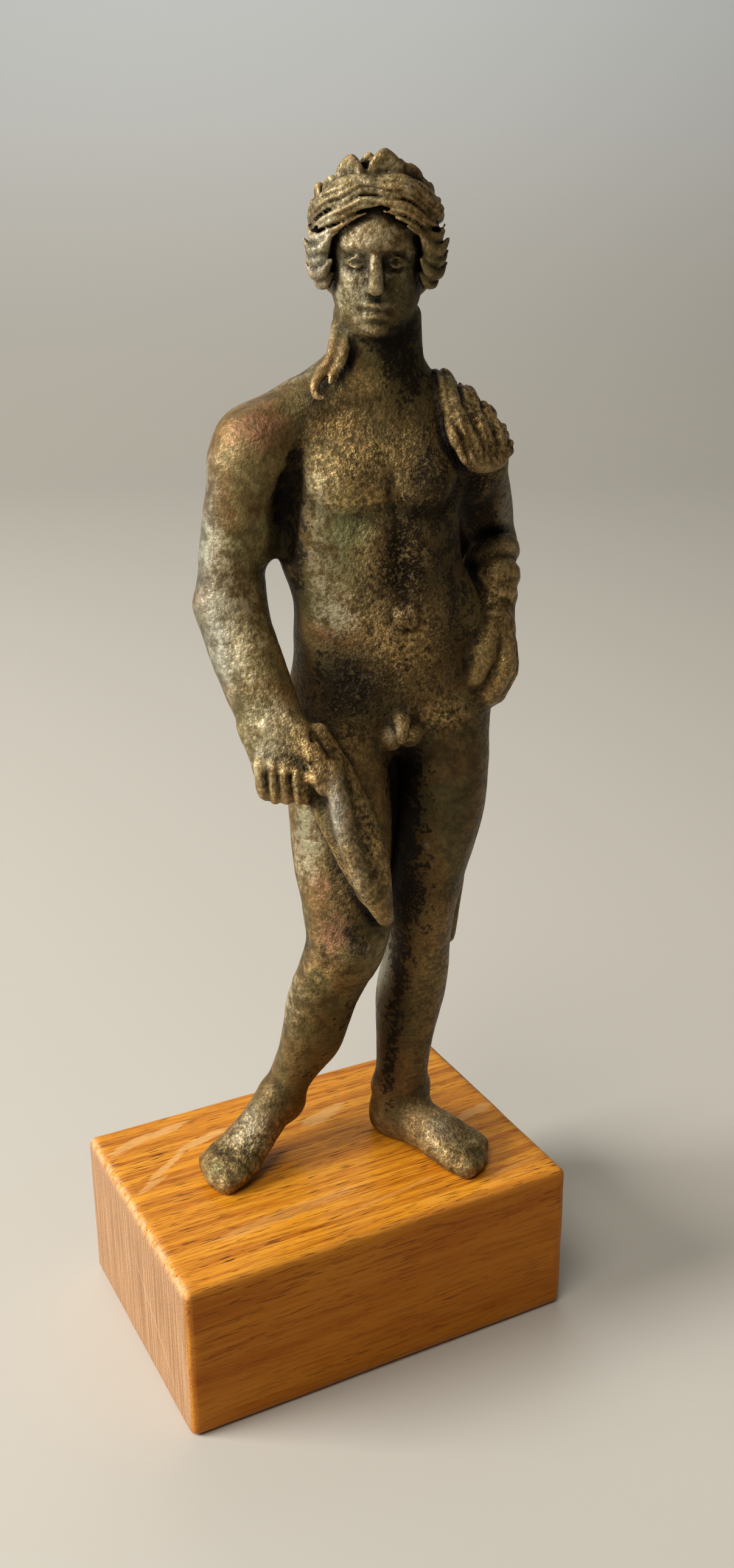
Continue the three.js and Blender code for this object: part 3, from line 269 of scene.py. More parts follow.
for fleck in [
    (-24.8, 15.3, 19, 9.0, 1.9, 0.85),
    (-18.7, 16.4, 13, 7.5, 1.7, 0.85),
    (-21.9, 7.7, 34, 10.0, 1.25, 0.85),
    (-14.6, 11.6, 15, 9.5, 1.8, 0.85),
    (-25.6, 4.2, 24, 6.0, 1.2, 0.6),
    (4.3, 8.9, 17, 9.0, 2.7, 0.75),
    (25.6, -1.0, 13, 11.0, 2.0, 0.65),
    (5.2, -13.7, 6.5, 16.0, 0.7, 0.3),
    (23.0, -16.2, 7, 9.0, 0.7, 0.3),
    (-11.0, -10.8, 6, 26.0, 2.4, 0.3),
]:
    oak_tone = varnish.blend(ray_fleck(*fleck), oak_tone, (0.74, 0.38, 0.11))

facing = varnish.tree.nodes.new("ShaderNodeNewGeometry")
facing_parts = varnish.tree.nodes.new("ShaderNodeSeparateXYZ")
varnish.give(facing_parts.inputs[0], facing.outputs["Normal"])
end_grain = varnish.ramp(varnish.math("ABSOLUTE", facing_parts.outputs[0]), 0.75, 0.92)
end_lines = varnish.noise((0.5, 0.45, 22), 3, 0.6)
end_dots = varnish.ramp(varnish.cells(0.55), 0.08, 0.3, 0.5, 0)
end_tone = varnish.blend(varnish.ramp(end_lines, 0.35, 0.65), (0.29, 0.135, 0.048), (0.50, 0.27, 0.125))
end_tone = varnish.blend(end_dots, end_tone, (0.16, 0.06, 0.022))
scratch = varnish.length(varnish.mapped((1, 12, 0.22), (38, 0, 0), (oak_low[0], -7, 10)))
end_tone = varnish.blend(varnish.ramp(scratch, 0.6, 1.1, 0.5, 0), end_tone, (0.62, 0.42, 0.24))
oak_tone = varnish.blend(end_grain, oak_tone, end_tone)
# Painted shade: the face toward the front is painted a darker brown than the top.
front_face_shade = varnish.ramp(facing_parts.outputs[1], -0.9, -0.6, 0.6, 0)
oak_tone = varnish.blend(front_face_shade, oak_tone, (0.37, 0.088, 0.0004))
# The upper left rim is painted pale cream: bare wood where the edge is worn, and a painted highlight along
# the edge that faces the window.
rim_bumps = varnish.noise(1.1, 3)
rim_share = varnish.times(varnish.mark("worn_rim_and_highlight"), varnish.ramp(rim_bumps, 0.36, 0.56, 0.1, 1))
oak_tone = varnish.blend(rim_share, oak_tone, (0.74, 0.52, 0.30))
edge_share = varnish.times(varnish.mark("edge"), 0.22)
oak_tone = varnish.blend(edge_share, oak_tone, (0.62, 0.27, 0.07))
grooves = varnish.bump(pores, -0.05)
oak_relief = varnish.bump(streaks, 0.04, grooves)
varnish.set(Base_Color=oak_tone, Roughness=varnish.ramp(streaks, 0.2, 0.8, 0.42, 0.30), Normal=oak_relief)
varnish.set(Specular_IOR_Level=0.1, Coat_Weight=0.04, Coat_Roughness=0.2)
oak.data.materials.append(varnish.material)
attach(oak, "root")
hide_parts("oak_block")


# The bronze youth: one casting from a wax laid up of rolls, cords and lumps, smoothed into each other, with
# swellings rubbed up and lines scored. Each shape gives the distance to its own surface in millimetres, less
# than nothing inside. In its own frame the figure looks along -Y and stands on z = 0.
STAND = (9, 1, -15)
SOLE = 0.3
FAR = 99.0
FELT = 4.0
TINY = 0.001
ROLL_LEVELS = 240


def column(values):
    return np.asarray(values, dtype=float)[:, None]


def within(low, high, margin, empty, shape):
    """The shape's own value inside a box with a margin, and an empty value outside it."""
    low = column(low) - margin
    high = column(high) + margin

    def value(p):
        here = np.all((p >= low) & (p <= high), axis=0)
        result = np.full(p.shape[1], empty)
        if here.any():
            result[here] = shape(p[:, here])
        return result

    return value


def blend(soft, *distances):
    """The least of the distances, less a fillet where two of them come within `soft` of each other."""
    total = distances[0]
    for other in distances[1:]:
        near = np.maximum(soft - np.abs(total - other), 0) / soft
        total = np.minimum(total, other) - near * near * soft / 4
    return total


def roll(stations, start=(0, 0, 0), end=(0, 0, 1), front=(0, -1, 0), cap=3.0):
    """A roll along a straight line. Each station is [distance along, middle to its left, middle to its front,
    reach right, reach left, reach front, reach back], and between them each number follows a smooth cubic."""
    rows = np.array(stations, dtype=float)
    along, values = rows[:, 0], rows[:, 1:]
    chords = np.diff(values, axis=0) / np.diff(along)[:, None]
    slopes = np.vstack([chords[:1], (chords[1:] + chords[:-1]) / 2, chords[-1:]])
    levels = np.linspace(along[0], along[-1], ROLL_LEVELS)
    below = np.clip(np.searchsorted(along, levels, side="right") - 1, 0, len(along) - 2)
    span = np.diff(along)[below][:, None]
    t = (levels - along[below])[:, None] / span
    table = (1 + 2 * t) * (1 - t) ** 2 * values[below] + t * (1 - t) ** 2 * slopes[below] * span
    table += t * t * (3 - 2 * t) * values[below + 1] + t * t * (t - 1) * slopes[below + 1] * span
    start = np.array(start, dtype=float)
    axis = np.array(end, dtype=float) - start
    axis /= np.linalg.norm(axis)
    side = np.cross(axis, front)
    side /= np.linalg.norm(side)
    ahead = np.cross(side, axis)
    line = start + axis * levels[:, None] + side * table[:, :1] + ahead * table[:, 1:2]
    widest = max(values[:, 2:].max(), cap)

    def distance(p):
        here = p - start[:, None]
        height = axis @ here
        level = np.clip(height, along[0], along[-1])
        spot = (level - along[0]) * (len(levels) - 1) / (along[-1] - along[0])
        first = np.minimum(spot.astype(int), len(levels) - 2)
        share = (spot - first)[:, None]
        row = table[first] * (1 - share) + table[first + 1] * share
        middle, fore, right, left, reach_front, reach_back = row.T
        a = side @ here - middle
        b = ahead @ here - fore
        over = height - level
        shares = a / np.where(a < 0, right, left), b / np.where(b > 0, reach_front, reach_back), over / cap
        share = np.sqrt(shares[0] ** 2 + shares[1] ** 2 + shares[2] ** 2)
        return np.sqrt(a * a + b * b + over * over) * (1 - 1 / np.maximum(share, TINY))

    return within(line.min(axis=0) - widest, line.max(axis=0) + widest, FELT, FAR, distance)


def lump(middle, radii):
    """An egg: how far out a point lies as a share of the radii, over how fast that share grows."""
    c, r = column(middle), column(radii)

    def distance(p):
        share = np.linalg.norm((p - c) / r, axis=0)
        steep = np.linalg.norm((p - c) / r ** 2, axis=0)
        return share * (share - 1) / np.maximum(steep, TINY)

    return within((c - r)[:, 0], (c + r)[:, 0], FELT, FAR, distance)


def smooth_line(points, pieces):
    """A centripetal Catmull-Rom line: cubic stretches whose slopes come from the roots of the gaps."""
    p = np.array(points, dtype=float)
    p = np.vstack([2 * p[0] - p[1], p, 2 * p[-1] - p[-2]])
    gap = np.sqrt(np.linalg.norm(np.diff(p, axis=0), axis=1))[:, None]
    slope = (p[1:-1] - p[:-2]) / gap[:-1] - (p[2:] - p[:-2]) / (gap[:-1] + gap[1:])
    slope = slope + (p[2:] - p[1:-1]) / gap[1:]
    t = np.linspace(0, 1, pieces + 1)[:-1, None, None]
    a, b, width = p[1:-2], p[2:-1], gap[1:-1]
    line = (1 + 2 * t) * (1 - t) ** 2 * a + t * (1 - t) ** 2 * slope[:-1] * width
    line = line + t * t * (3 - 2 * t) * b + t * t * (t - 1) * slope[1:] * width
    return np.vstack([line.transpose(1, 0, 2).reshape(-1, 3), p[-2]])


def cord(points, radii, pieces=4):
    """A cord along a smooth line: the least distance to the cones between its knots."""
    knots = smooth_line(points, pieces)
    thick = np.interp(np.linspace(0, len(radii) - 1, len(knots)), np.arange(len(radii)), radii)

    def distance(p):
        nearest = np.full(p.shape[1], FAR)
        for a, b, first, last in zip(knots, knots[1:], thick, thick[1:]):
            way = b - a
            here = p - a[:, None]
            t = np.clip(way @ here / (way @ way), 0, 1)
            gap = np.linalg.norm(here - way[:, None] * t, axis=0)
            nearest = np.minimum(nearest, gap - first - (last - first) * t)
        return nearest

    return within(knots.min(axis=0) - max(radii), knots.max(axis=0) + max(radii), FELT, FAR, distance)


def swell(middle, radii, height):
    """A swelling, or a hollow where the height is below nothing: a bell over its three radii."""
    c, r = column(middle), column(radii)
    bell = lambda p: height * np.exp(-(((p - c) / r) ** 2).sum(axis=0))
    return within((c - r)[:, 0], (c + r)[:, 0], 2 * max(radii), 0.0, bell)


def score(points, width, depth):
    """A scored line with the section of a bell turned over."""
    line = cord(points, [0, 0])
    knots = np.array(points, dtype=float)
    groove = lambda p: -depth * np.exp(-((np.maximum(line(p), 0) / width) ** 2))
    return within(knots.min(axis=0), knots.max(axis=0), 3 * width + 0.5, 0.0, groove)


def relief(marks, p):
    return sum(mark(p) for mark in marks)


def all_of(shapes, p):
    return [shape(p) for shape in shapes]


def least(shapes, p):
    return np.minimum.reduce(all_of(shapes, p))


# The trunk: weight on the left leg pushes the left hip out and closes that flank.
trunk = roll([
    [66, 2.6, -0.8, 11.6, 12.6, 6.2, 8.2],
    [70, 2.6, -0.7, 12.8, 13.7, 7.2, 8.8],
    [74, 2.6, -0.6, 12.9, 13.9, 7.6, 8.6],
    [79, 2.6, -0.4, 13.0, 13.2, 7.8, 7.0],
    [84, 2.5, -0.2, 13.1, 11.7, 8.4, 6.2],
    [89, 2.1, 0, 14.2, 9.9, 8.1, 6.2],
    [95, 1.3, 0.2, 14.3, 10.6, 8.2, 7.0],
    [100, 0.6, 0.2, 13.6, 11.4, 8.2, 7.4],
    [104, 0, 0, 13.5, 12.2, 7.0, 7.4],
    [108, -0.3, -0.4, 11, 10.8, 5.4, 6.4],
    [111, -0.4, -0.8, 7, 7, 4.4, 5],
], cap=4)
shoulders = [
    cord([[-14.6, -0.2, 104.3], [-6, 1.2, 109.1], [0, 1.2, 110.2], [6, 1.4, 108.2], [12.8, 1.6, 102.5]],
         [5, 4.5, 5, 4.4, 4.2]),
    lump([-15.4, -0.6, 102.8], [5.2, 5.6, 6]),
    lump([13.2, 1.6, 101.2], [5, 5.2, 5.6]),
]
neck = roll([
    [0, 0, 0, 6.2, 7.4, 5.6, 6],
    [5, 0, 0, 5.0, 6.9, 5.3, 5.6],
    [12, 0, 0, 4.8, 6.2, 5.2, 5.6],
], (-0.2, 1.4, 108), (0, -0.4, 120))
navel_ring = [
    [4.8, -8.4, 83], [4.2, -8.6, 84.8], [2.7, -8.7, 85.5], [1.2, -8.6, 84.8], [0.6, -8.4, 83],
    [1.3, -8.5, 81.6], [2.8, -8.5, 81.1], [4.2, -8.5, 81.6], [4.8, -8.4, 83],
]
trunk_relief = [
    swell([-6.2, -8, 100.6], [5.0, 4, 4], 1.4),
    swell([6.8, -7.6, 100.8], [4.8, 4, 4], 1.4),
    score([[0.2, -8.6, 105], [0.8, -8.8, 97.5]], 0.9, 1.0),
    score([[-10.8, -5.2, 98.8], [-6.4, -8.3, 96.0], [-2.4, -8.9, 96.2], [0.4, -9, 97.6]], 1.2, 0.75),
    score([[1.4, -9, 97.8], [4.4, -8.8, 96.4], [8, -7.2, 96.8], [10.6, -5, 99.4]], 1.2, 0.75),
    score([[1.2, -9, 95], [2.2, -9, 87], [2.6, -9, 85.6]], 0.9, 0.7),
    score([[2.7, -9, 80.8], [2.6, -9, 75]], 0.9, 0.4),
    swell([-1.9, -8, 91.2], [2.4, 3, 3.4], 0.6),
    swell([5.2, -8, 91], [2.2, 3, 3.4], 0.6),
    swell([2.7, -9, 79.5], [5.4, 4, 4], 0.9),
    swell([2.7, -8.7, 83.3], [1.6, 2, 1.6], 0.65),
    score(navel_ring, 0.42, 0.38),
    swell([-9.6, -4, 79.5], [2.4, 4.4, 3.4], 0.6),
    swell([13.6, -3, 80], [2.6, 4.4, 3.4], 0.8),
    score([[-9.6, -6, 76.2], [-5.4, -8, 72.6], [-0.6, -8.4, 68.6]], 0.9, 0.5),
    score([[14.6, -4.6, 76.8], [9.4, -7.6, 72.8], [5.4, -8.4, 68.8]], 0.9, 0.5),
    score([[0, 8.2, 106], [0.8, 8, 96], [2.2, 7, 86], [2.6, 8.6, 77]], 1.3, 0.9),
    swell([-6.5, 7.4, 100.6], [3.4, 3, 4.4], 0.9),
    swell([7.5, 7.4, 100.6], [3.4, 3, 4.4], 0.7),
    score([[2.5, 9.6, 77], [2.5, 9.6, 63]], 1.2, 1.6),
    score([[-0.4, -4.6, 110.2], [-5.6, -4.6, 108.6], [-12.5, -4, 107]], 0.9, 0.35),
]

# The left leg carries the weight. The right one is free: its knee comes forward and its foot turns out.
left_leg = roll([
    [2, 3.8, -0.9, 3.4, 3.8, 3.6, 3.2],
    [7, 4.2, -0.3, 4.1, 4.2, 3.8, 3.9],
    [11, 4.4, -0.1, 3.9, 4.0, 3.7, 3.8],
    [16, 4.9, -0.3, 4.2, 4.2, 4.0, 4.8],
    [22, 5.7, -0.5, 5.0, 4.9, 4.4, 6.2],
    [27, 6.3, -0.3, 5.0, 5.0, 4.7, 6.3],
    [33, 6.9, 0.2, 4.5, 4.5, 5.0, 5.1],
    [37.5, 7.2, 0.6, 5.1, 4.6, 5.4, 4.9],
    [42, 7.9, 0.4, 5.4, 5.0, 5.6, 5.3],
    [48, 8.8, 0.4, 5.6, 5.8, 6.3, 5.9],
    [54, 9.5, 0.2, 5.8, 6.5, 6.9, 6.6],
    [60, 9.8, -0.2, 6.2, 6.7, 7.2, 7.4],
    [66, 9.5, -0.6, 6.4, 7.0, 7.0, 8.4],
    [72, 9.2, -0.8, 6.2, 6.8, 6.6, 8.0],
    [78, 8.6, -1, 4.6, 5, 4.6, 6],
])
right_leg = roll([
    [8, -13.1, -1.2, 3.2, 2.6, 3.4, 3.4],
    [12, -12, -0.2, 3.6, 3.2, 3.6, 4.0],
    [17, -10.1, 1.6, 4.4, 4.4, 3.9, 5.0],
    [22, -8.6, 3.2, 5.2, 4.2, 4.2, 6.2],
    [26, -7.6, 4.6, 6.0, 3.9, 4.4, 6.3],
    [30, -6.5, 6.2, 6.5, 4.0, 4.6, 5.8],
    [34, -5.7, 7.6, 6.4, 4.9, 5.0, 5.4],
    [38, -5.5, 8.2, 5.6, 5.9, 5.4, 5.8],
    [42, -5.5, 7.5, 5.9, 6.2, 5.6, 6.2],
    [48, -5.4, 5.6, 6.8, 6.6, 6.2, 6.6],
    [54, -5.2, 3.6, 7.1, 6.9, 7.0, 7.0],
    [60, -5.0, 1.6, 7.3, 6.8, 7.4, 7.6],
    [66, -4.8, 0, 7.0, 6.6, 7.2, 8.4],
    [72, -4.4, -0.8, 6.2, 6.2, 6.6, 8.0],
    [78, -3.6, -1, 4.6, 4.6, 4.6, 6],
])
leg_relief = [
    swell([6.8, -5.6, 39.4], [2.4, 2.4, 3], 0.3),
    swell([-5.4, -13.6, 38.4], [2.5, 2.4, 2.5], 0.7),
    swell([6.6, 6, 26], [3.4, 3, 5], 0.6),
    swell([-7.8, 2.2, 24.5], [3.4, 3, 5], 0.6),
    swell([-5.4, 9.4, 67.5], [5, 3.6, 5], 1.2),
    swell([9.8, 10, 68.5], [5, 3.6, 5], 1.3),
    swell([-16, 0.6, 10], [1.3, 1.6, 1.5], 0.6),
    swell([0.4, 0.4, 8.6], [1.3, 1.6, 1.5], 0.6),
    swell([8.6, 0.6, 7.6], [1.3, 1.6, 1.5], 0.6),
]


def foot(heel, heading, lift, length, outside):
    """A bare foot: a roll from the heel forward, and five cords for the toes. `outside` is 1 where the little
    toe lies to the left of the way the foot points, and `lift` is how far its heel is off the ground."""
    turn = math.radians(heading)
    ahead = (math.sin(turn), -math.cos(turn))

    def place(along, across, height):
        x = heel[0] + ahead[0] * along * length - ahead[1] * across * outside
        y = heel[1] + ahead[1] * along * length + ahead[0] * across * outside
        return (x, y, height)

    sole = roll([
        [0, 0, 2.6 + lift, 2.6, 2.6, 3, 2.9],
        [4 * length, 0, 2.5 + lift * 0.8, 3.1, 3.1, 4.6, 2.9],
        [8.5 * length, 0.3 * outside, 2.3 + lift * 0.4, 3.5, 3.5, 4.5, 2.2],
        [12.5 * length, 0, 2 + lift * 0.1, 4, 4, 3.5, 2.0],
        [15.5 * length, 0, 1.6, 4.0, 4.0, 2.3, 2.0],
    ], place(0, 0, 0), place(1, 0, 0), (0, 0, 1), 2)
    toes = []
    for i, across in enumerate([-2.3, -0.6, 0.8, 2, 3.1]):
        thick = 1.7 if i == 0 else 1.25
        tip = 17.7 if i == 0 else 18.3 - 0.2 * i * i
        line = [place(12.5, across * 0.9, 2.2), place(15.8, across, 1.9), place(tip, across, 1.3)]
        toes.append(cord(line, [thick, thick]))
    return lambda p: blend(1.6, sole(p), blend(0.7, *all_of(toes, p)))


left_foot = foot([2.6, 2.4], 35, 0, 1, 1)
right_foot = foot([-13.1, 1.4], -53, 4.6, 0.85, -1)
web = cord([[1.7, -0.6, 36], [1.9, 0.6, 44], [2.2, 1.6, 57], [2.4, 1.6, 70]], [0.5, 1.5, 1.8, 2.2])


def legs(p):
    left = blend(2.4, left_leg(p), left_foot(p))
    right = blend(2.4, right_leg(p), right_foot(p))
    return blend(1, np.minimum(left, right), web(p)) - relief(leg_relief, p)


# The right arm hangs a little bent, and its hand holds a long leaf-shaped object down along the thigh.
OUTWARD = (-0.4, -0.9, 0)
right_arm_rolls = [
    roll([
        [0, 0, 0, 4.2, 4.1, 4.2, 4.2],
        [6, 0, 0, 4.6, 4.1, 4.5, 4.6],
        [12, 0, 0, 4.6, 4.6, 4.9, 4.9],
        [18, 0, 0, 4.6, 4.9, 5.2, 5.2],
    ], (-18.9, 1.6, 84), (-16.4, -0.6, 103), cap=4),
    roll([
        [0, 0, 0, 4.5, 4.0, 3.0, 2.8],
        [5, 0, 0, 4.9, 4.2, 3.4, 3.2],
        [12, 0, 0, 5.2, 4.3, 4.0, 3.9],
        [17.5, 0, 0, 4.2, 4.2, 4.0, 4.0],
    ], (-14.6, -7.4, 69.5), (-19.0, 1.4, 84.5), OUTWARD, 2.5),
    lump([-13.4, -0.2, 95], [2, 3.2, 4.6]),
]
right_palm = roll([
    [0, 0, 0, 2.8, 4.0, 2.4, 2.4],
    [4, 0, 0, 3.9, 5.0, 2.8, 2.8],
    [8, 0, 0, 5.2, 4.4, 2.8, 2.8],
], (-14.6, -9.8, 61.4), (-14.4, -7.6, 70), OUTWARD, 2)
right_fingers = []
for i in range(4):
    x, y, low = -16.6 + i * 1.45, -9.7 - i * 0.62, 60.9 - i * 0.3
    bent = [[x - 0.4, y - 1, low + 4.4], [x, y - 1, low + 1.2], [x + 0.9, y + 0.8, low + 0.6]]
    right_fingers.append(cord(bent, [1.1, 1.15, 0.95]))
right_thumb = cord([[-11.6, -10.2, 68.4], [-10.0, -12.2, 65.6], [-9.6, -13.4, 62.6]], [1.9, 1.6, 1.3])
right_web = lump([-11.2, -11.6, 62.4], [1.9, 1.6, 2.6])
hand_relief = [
    score([[-10, -10.7, 69.4], [-8.4, -12.1, 66.9], [-7.1, -13.5, 64.5]], 0.5, 0.9),
    score([[-10.6, -11.2, 69.2], [-10.7, -12.8, 65.8]], 0.45, 0.7),
    swell([-10.8, -14, 64.1], [0.9, 1.4, 0.8], 0.6),
    swell([-10.5, -13.4, 60.4], [1.5, 1.8, 3], -0.5),
]


def between_fingers(p):
    """Four grooves side by side across the hand, each a bell over its width, fading at the knuckles."""
    across = 0.919 * p[0] - 0.393 * p[1] + 0.12 * np.sin(p[2] * 1.4)
    below = np.clip((65.6 - p[2]) / 1.6, 0, 1) * np.clip((-11.4 - p[0]) / 0.8, 0, 1)
    return sum(-0.34 * below * np.exp(-(((across - line) / 0.32) ** 2)) for line in (-10.6, -9.1, -7.5, -6.0))


def right_arm(p):
    fingers = blend(0.25, *all_of(right_fingers, p))
    hand = blend(1, right_palm(p), fingers, right_thumb(p), right_web(p)) - between_fingers(p)
    return blend(1.5, blend(3, *all_of(right_arm_rolls, p)), hand) - relief(hand_relief, p)


held_leaf = roll([
    [0, 0, 0, 1.1, 1.1, 1.2, 1.8],
    [3.4, 0, 0, 2.4, 2.1, 2.1, 2.6],
    [8.5, 0, 0, 3.4, 3.3, 2.4, 3.0],
    [13.5, 0, 0, 3.9, 3.4, 2.5, 3.2],
    [17.5, 0, 0, 4.3, 3.2, 2.4, 3.2],
    [22, 0, 0, 3.0, 2.6, 2.1, 2.6],
    [27, 0, 0, 1.6, 1.5, 1.2, 1.8],
], (-1.2, -13.4, 43.4), (-9.8, -9.6, 69.6), (0.1, -1, 0.2), 1.2)
held_rim = cord(
    [[-1.8, -14.8, 43.8], [-4.9, -15.2, 49.9], [-6.8, -14.9, 56], [-7.6, -14.1, 61], [-8.4, -12.9, 64.8]],
    [0.8, 1.0, 1.15, 1.3, 1.3],
)

# The left arm is bent, its forearm wound in the cloak and its hand laid on the hip with the fingers down.
left_upper_arm = roll([
    [0, 0, 0, 3.4, 3.5, 3.6, 3.6],
    [6, 0, 0, 3.6, 4.1, 4.0, 4.0],
    [12, 0, 0, 3.8, 4.2, 4.4, 4.4],
    [16, 0, 0, 4.0, 4.0, 4.6, 4.6],
], (18.8, 9.4, 88.4), (13.9, 1.8, 102.5), cap=3.4)
left_forearm = cord([[18.8, 9.4, 88], [17.6, 3.4, 83.8], [17, -1, 79]], [3.7, 3.2, 2.6])
left_palm = roll([
    [0, 0, 0, 2.2, 2.2, 2.0, 2.6],
    [4, 0, 0, 2.9, 3.0, 2.2, 3.0],
    [8, 0, 0, 2.8, 3.0, 2.0, 3.0],
    [10.6, 0, 0, 1.9, 2.2, 1.4, 2.4],
], (16.2, -2.0, 80.6), (15.2, -3.4, 70), (0.2, -1, 0), 1.6)
left_fingers = [
    cord([[15.0, -3.8, 79], [14.0, -4.9, 76.6], [13.0, -5.2, 73.8]], [1.5, 1.9, 1.4]),
    cord([[17.4, -3.4, 77.8], [17.0, -4.6, 74.6], [15.2, -4.7, 70.8]], [1.4, 1.8, 1.3]),
    cord([[18.6, -1.8, 76.6], [18.4, -2.6, 73.2], [17.0, -3.0, 70]], [1.2, 1.4, 1.0]),
]


def left_arm(p):
    hand = blend(1.2, left_palm(p), blend(0.7, *all_of(left_fingers, p)))
    return blend(1.2, blend(1.6, left_upper_arm(p), left_forearm(p)), hand)


# The short cloak: four rope-like folds over the left shoulder, a fall behind the arm, turns round the
# forearm, and an end that hangs down behind the left thigh.
SHOULDER_MIDDLE = (12.5, 1.6, 101)
FOLD_RADII = [1.15, 1.75, 1.4, 1.85, 1.5, 1.8, 1.7]
fold_paths = [
    [[11.9, -5.6, 102.2], [9.8, -4.9, 107], [9, 0, 111.4], [9.2, 5.2, 108.8], [10.4, 8.2, 101]],
    [[13.6, -5.2, 102.1], [12.6, -4.4, 106], [11.9, 0, 109.5], [11.9, 4.8, 107.4], [12.4, 7.8, 100]],
    [[15.2, -4.3, 102.2], [15, -3.2, 104.8], [14.5, 0.2, 107.2], [14.5, 4.6, 105.6], [14.6, 7.6, 99]],
    [[16.4, -2.6, 102.7], [16.8, -1.2, 103.6], [16.7, 0.6, 104.6], [16.8, 4.4, 103.2], [16.6, 7.4, 98]],
]
cloak_folds = [cord(path, FOLD_RADII) for path in fold_paths]
cloak_folds.append(cord([[9.8, -5.0, 107], [9.2, -6.2, 105], [10.4, -7.0, 102.4]], [0.8, 0.75, 0.3]))
hem = [[11.2, -6.0, 102.8], [13.3, -5.5, 102.0], [15.2, -4.5, 102.1], [16.8, -2.4, 103]]
cloak_folds.append(cord(hem, [1.0, 1.3, 1.2, 1.2]))
fold_lines = []
for path in fold_paths:
    middle = smooth_line(path, 3)
    out = middle - SHOULDER_MIDDLE
    out /= np.linalg.norm(out, axis=1)[:, None]
    sideways = np.cross(np.gradient(middle, axis=0), out)
    sideways /= np.linalg.norm(sideways, axis=1)[:, None]
    for shift, phase in ((-0.8, 0), (0.1, 2), (0.9, 4)):
        sway = (shift + 0.45 * np.sin(np.arange(len(middle)) * 1.1 + phase))[:, None]
        fold_lines.append(score(middle + out * 1.5 + sideways * sway, 0.26, 0.5))
cloak_fall = roll([
    [0, 0, 0, 3.6, 4, 1.7, 2.2],
    [8, 0, 0, 4.4, 4.4, 1.8, 2.6],
    [16, 0, 0, 4.4, 4, 2, 2.2],
], (15.6, 8, 87), (12.8, 7.4, 103), cap=2)
cloak_turns = []
for (x, y, z), reach, thick, rise in [
    ([17.4, 3.8, 87.2], 2.5, 1.7, 1.4),
    ([16.9, 2.0, 84.0], 2.5, 1.8, 1.6),
    ([16.5, 0.6, 81.4], 2.3, 1.6, 2.0),
]:
    angle = np.linspace(0, 2 * math.pi, 9)
    beside, above = np.cos(angle) * reach, np.sin(angle) * reach
    ring = np.stack([x + beside, y - above * 0.62, z + above * 0.78 + beside * rise * 0.3], axis=1)
    cloak_turns.append(cord(ring, [thick, thick], 2))
band_lines = [
    score([[13.4, 1.4, 88.4], [15.2, -0.4, 86.4], [18.4, -0.6, 85.0]], 0.3, 0.45),
    score([[13.2, 0.2, 86.2], [15.2, -1.8, 84.2], [18.8, -2.0, 82.6]], 0.3, 0.5),
    score([[13.0, -1.2, 84.2], [15.4, -3.4, 82.0], [18.6, -3.2, 80.4]], 0.3, 0.5),
    score([[13.4, -2.2, 82.0], [15.6, -3.8, 80.4], [17.6, -3.8, 79.6]], 0.3, 0.4),
]
cloak_end = roll([
    [0, -0.6, 0, 2.6, 1.9, 0.9, 0.9],
    [8, -0.8, 0, 3.6, 2.4, 1.3, 1.4],
    [22, -0.9, 0, 4.2, 2.4, 1.5, 1.7],
    [34, -0.7, -0.6, 4.2, 2.1, 2.0, 1.9],
    [44, -0.5, 0, 3.8, 2.1, 2.2, 1.9],
    [56, 0, 0, 3.4, 2.8, 2.6, 2],
], (13.2, 7.4, 28.4), (17.6, 6.6, 84), cap=1.2)
cloak_relief = [
    score([[11.6, 8.8, 27], [13.2, 9.2, 40], [14.4, 9.6, 56], [15.8, 9.4, 82]], 0.7, 0.9),
    score([[14.4, 8.6, 27], [15.4, 8.8, 42], [16.8, 9.2, 58], [17.6, 9.2, 82]], 0.6, 0.8),
    score([[12.8, 10.4, 86], [11.2, 10.4, 100]], 0.7, 0.9),
    score([[15.8, 10.2, 86], [13.8, 10.4, 99]], 0.7, 0.9),
]


def cloak(p):
    folds = blend(1.0, *all_of(cloak_folds, p)) - relief(fold_lines, p)
    turns = blend(1.1, *all_of(cloak_turns, p)) - relief(band_lines, p)
    hanging = blend(2, cloak_fall(p), cloak_end(p)) - relief(cloak_relief, p)
    return blend(1, folds, turns, hanging)


# The head has a frame of its own: its middle is halfway from the chin to the crown, and it looks along
# -Y. The face is calm and plain, with the eyes halfway down.
HEAD = (0.45, -0.8, 126.2, -13)
skull = lump([0, 1, 2.2], [6.4, 7, 6.8])
face = roll([
    [-7.6, 0, 2.6, 3.2, 3.2, 3.5, 4],
    [-5.4, 0, 1.4, 4.9, 4.9, 4.8, 4],
    [-2.6, 0, 0, 5.7, 5.7, 6.1, 5],
    [0.6, 0, 0, 5.9, 5.9, 6.0, 6.4],
    [3.4, 0, 0, 5.9, 5.9, 6.5, 7],
    [6, 0, -0.4, 5.6, 5.6, 6, 6.6],
], cap=1.6)
nose = cord([[0, -5.8, 1.8], [0, -6.4, -0.8], [0, -6.9, -2.8]], [0.7, 0.8, 0.95])
face_relief = [
    swell([0, -6.5, -4.9], [1.7, 1.1, 0.5], 0.6),
    swell([0, -6.4, -6.1], [1.3, 1.1, 0.5], 0.6),
    score([[-1.9, -6, -5.5], [0, -6.6, -5.5], [1.9, -6, -5.5]], 0.4, 0.5),
    swell([0, -6.2, -6.9], [1.8, 1, 0.4], -0.3),
    swell([0, -6.3, -8], [1.5, 1.3, 1], 0.5),
]
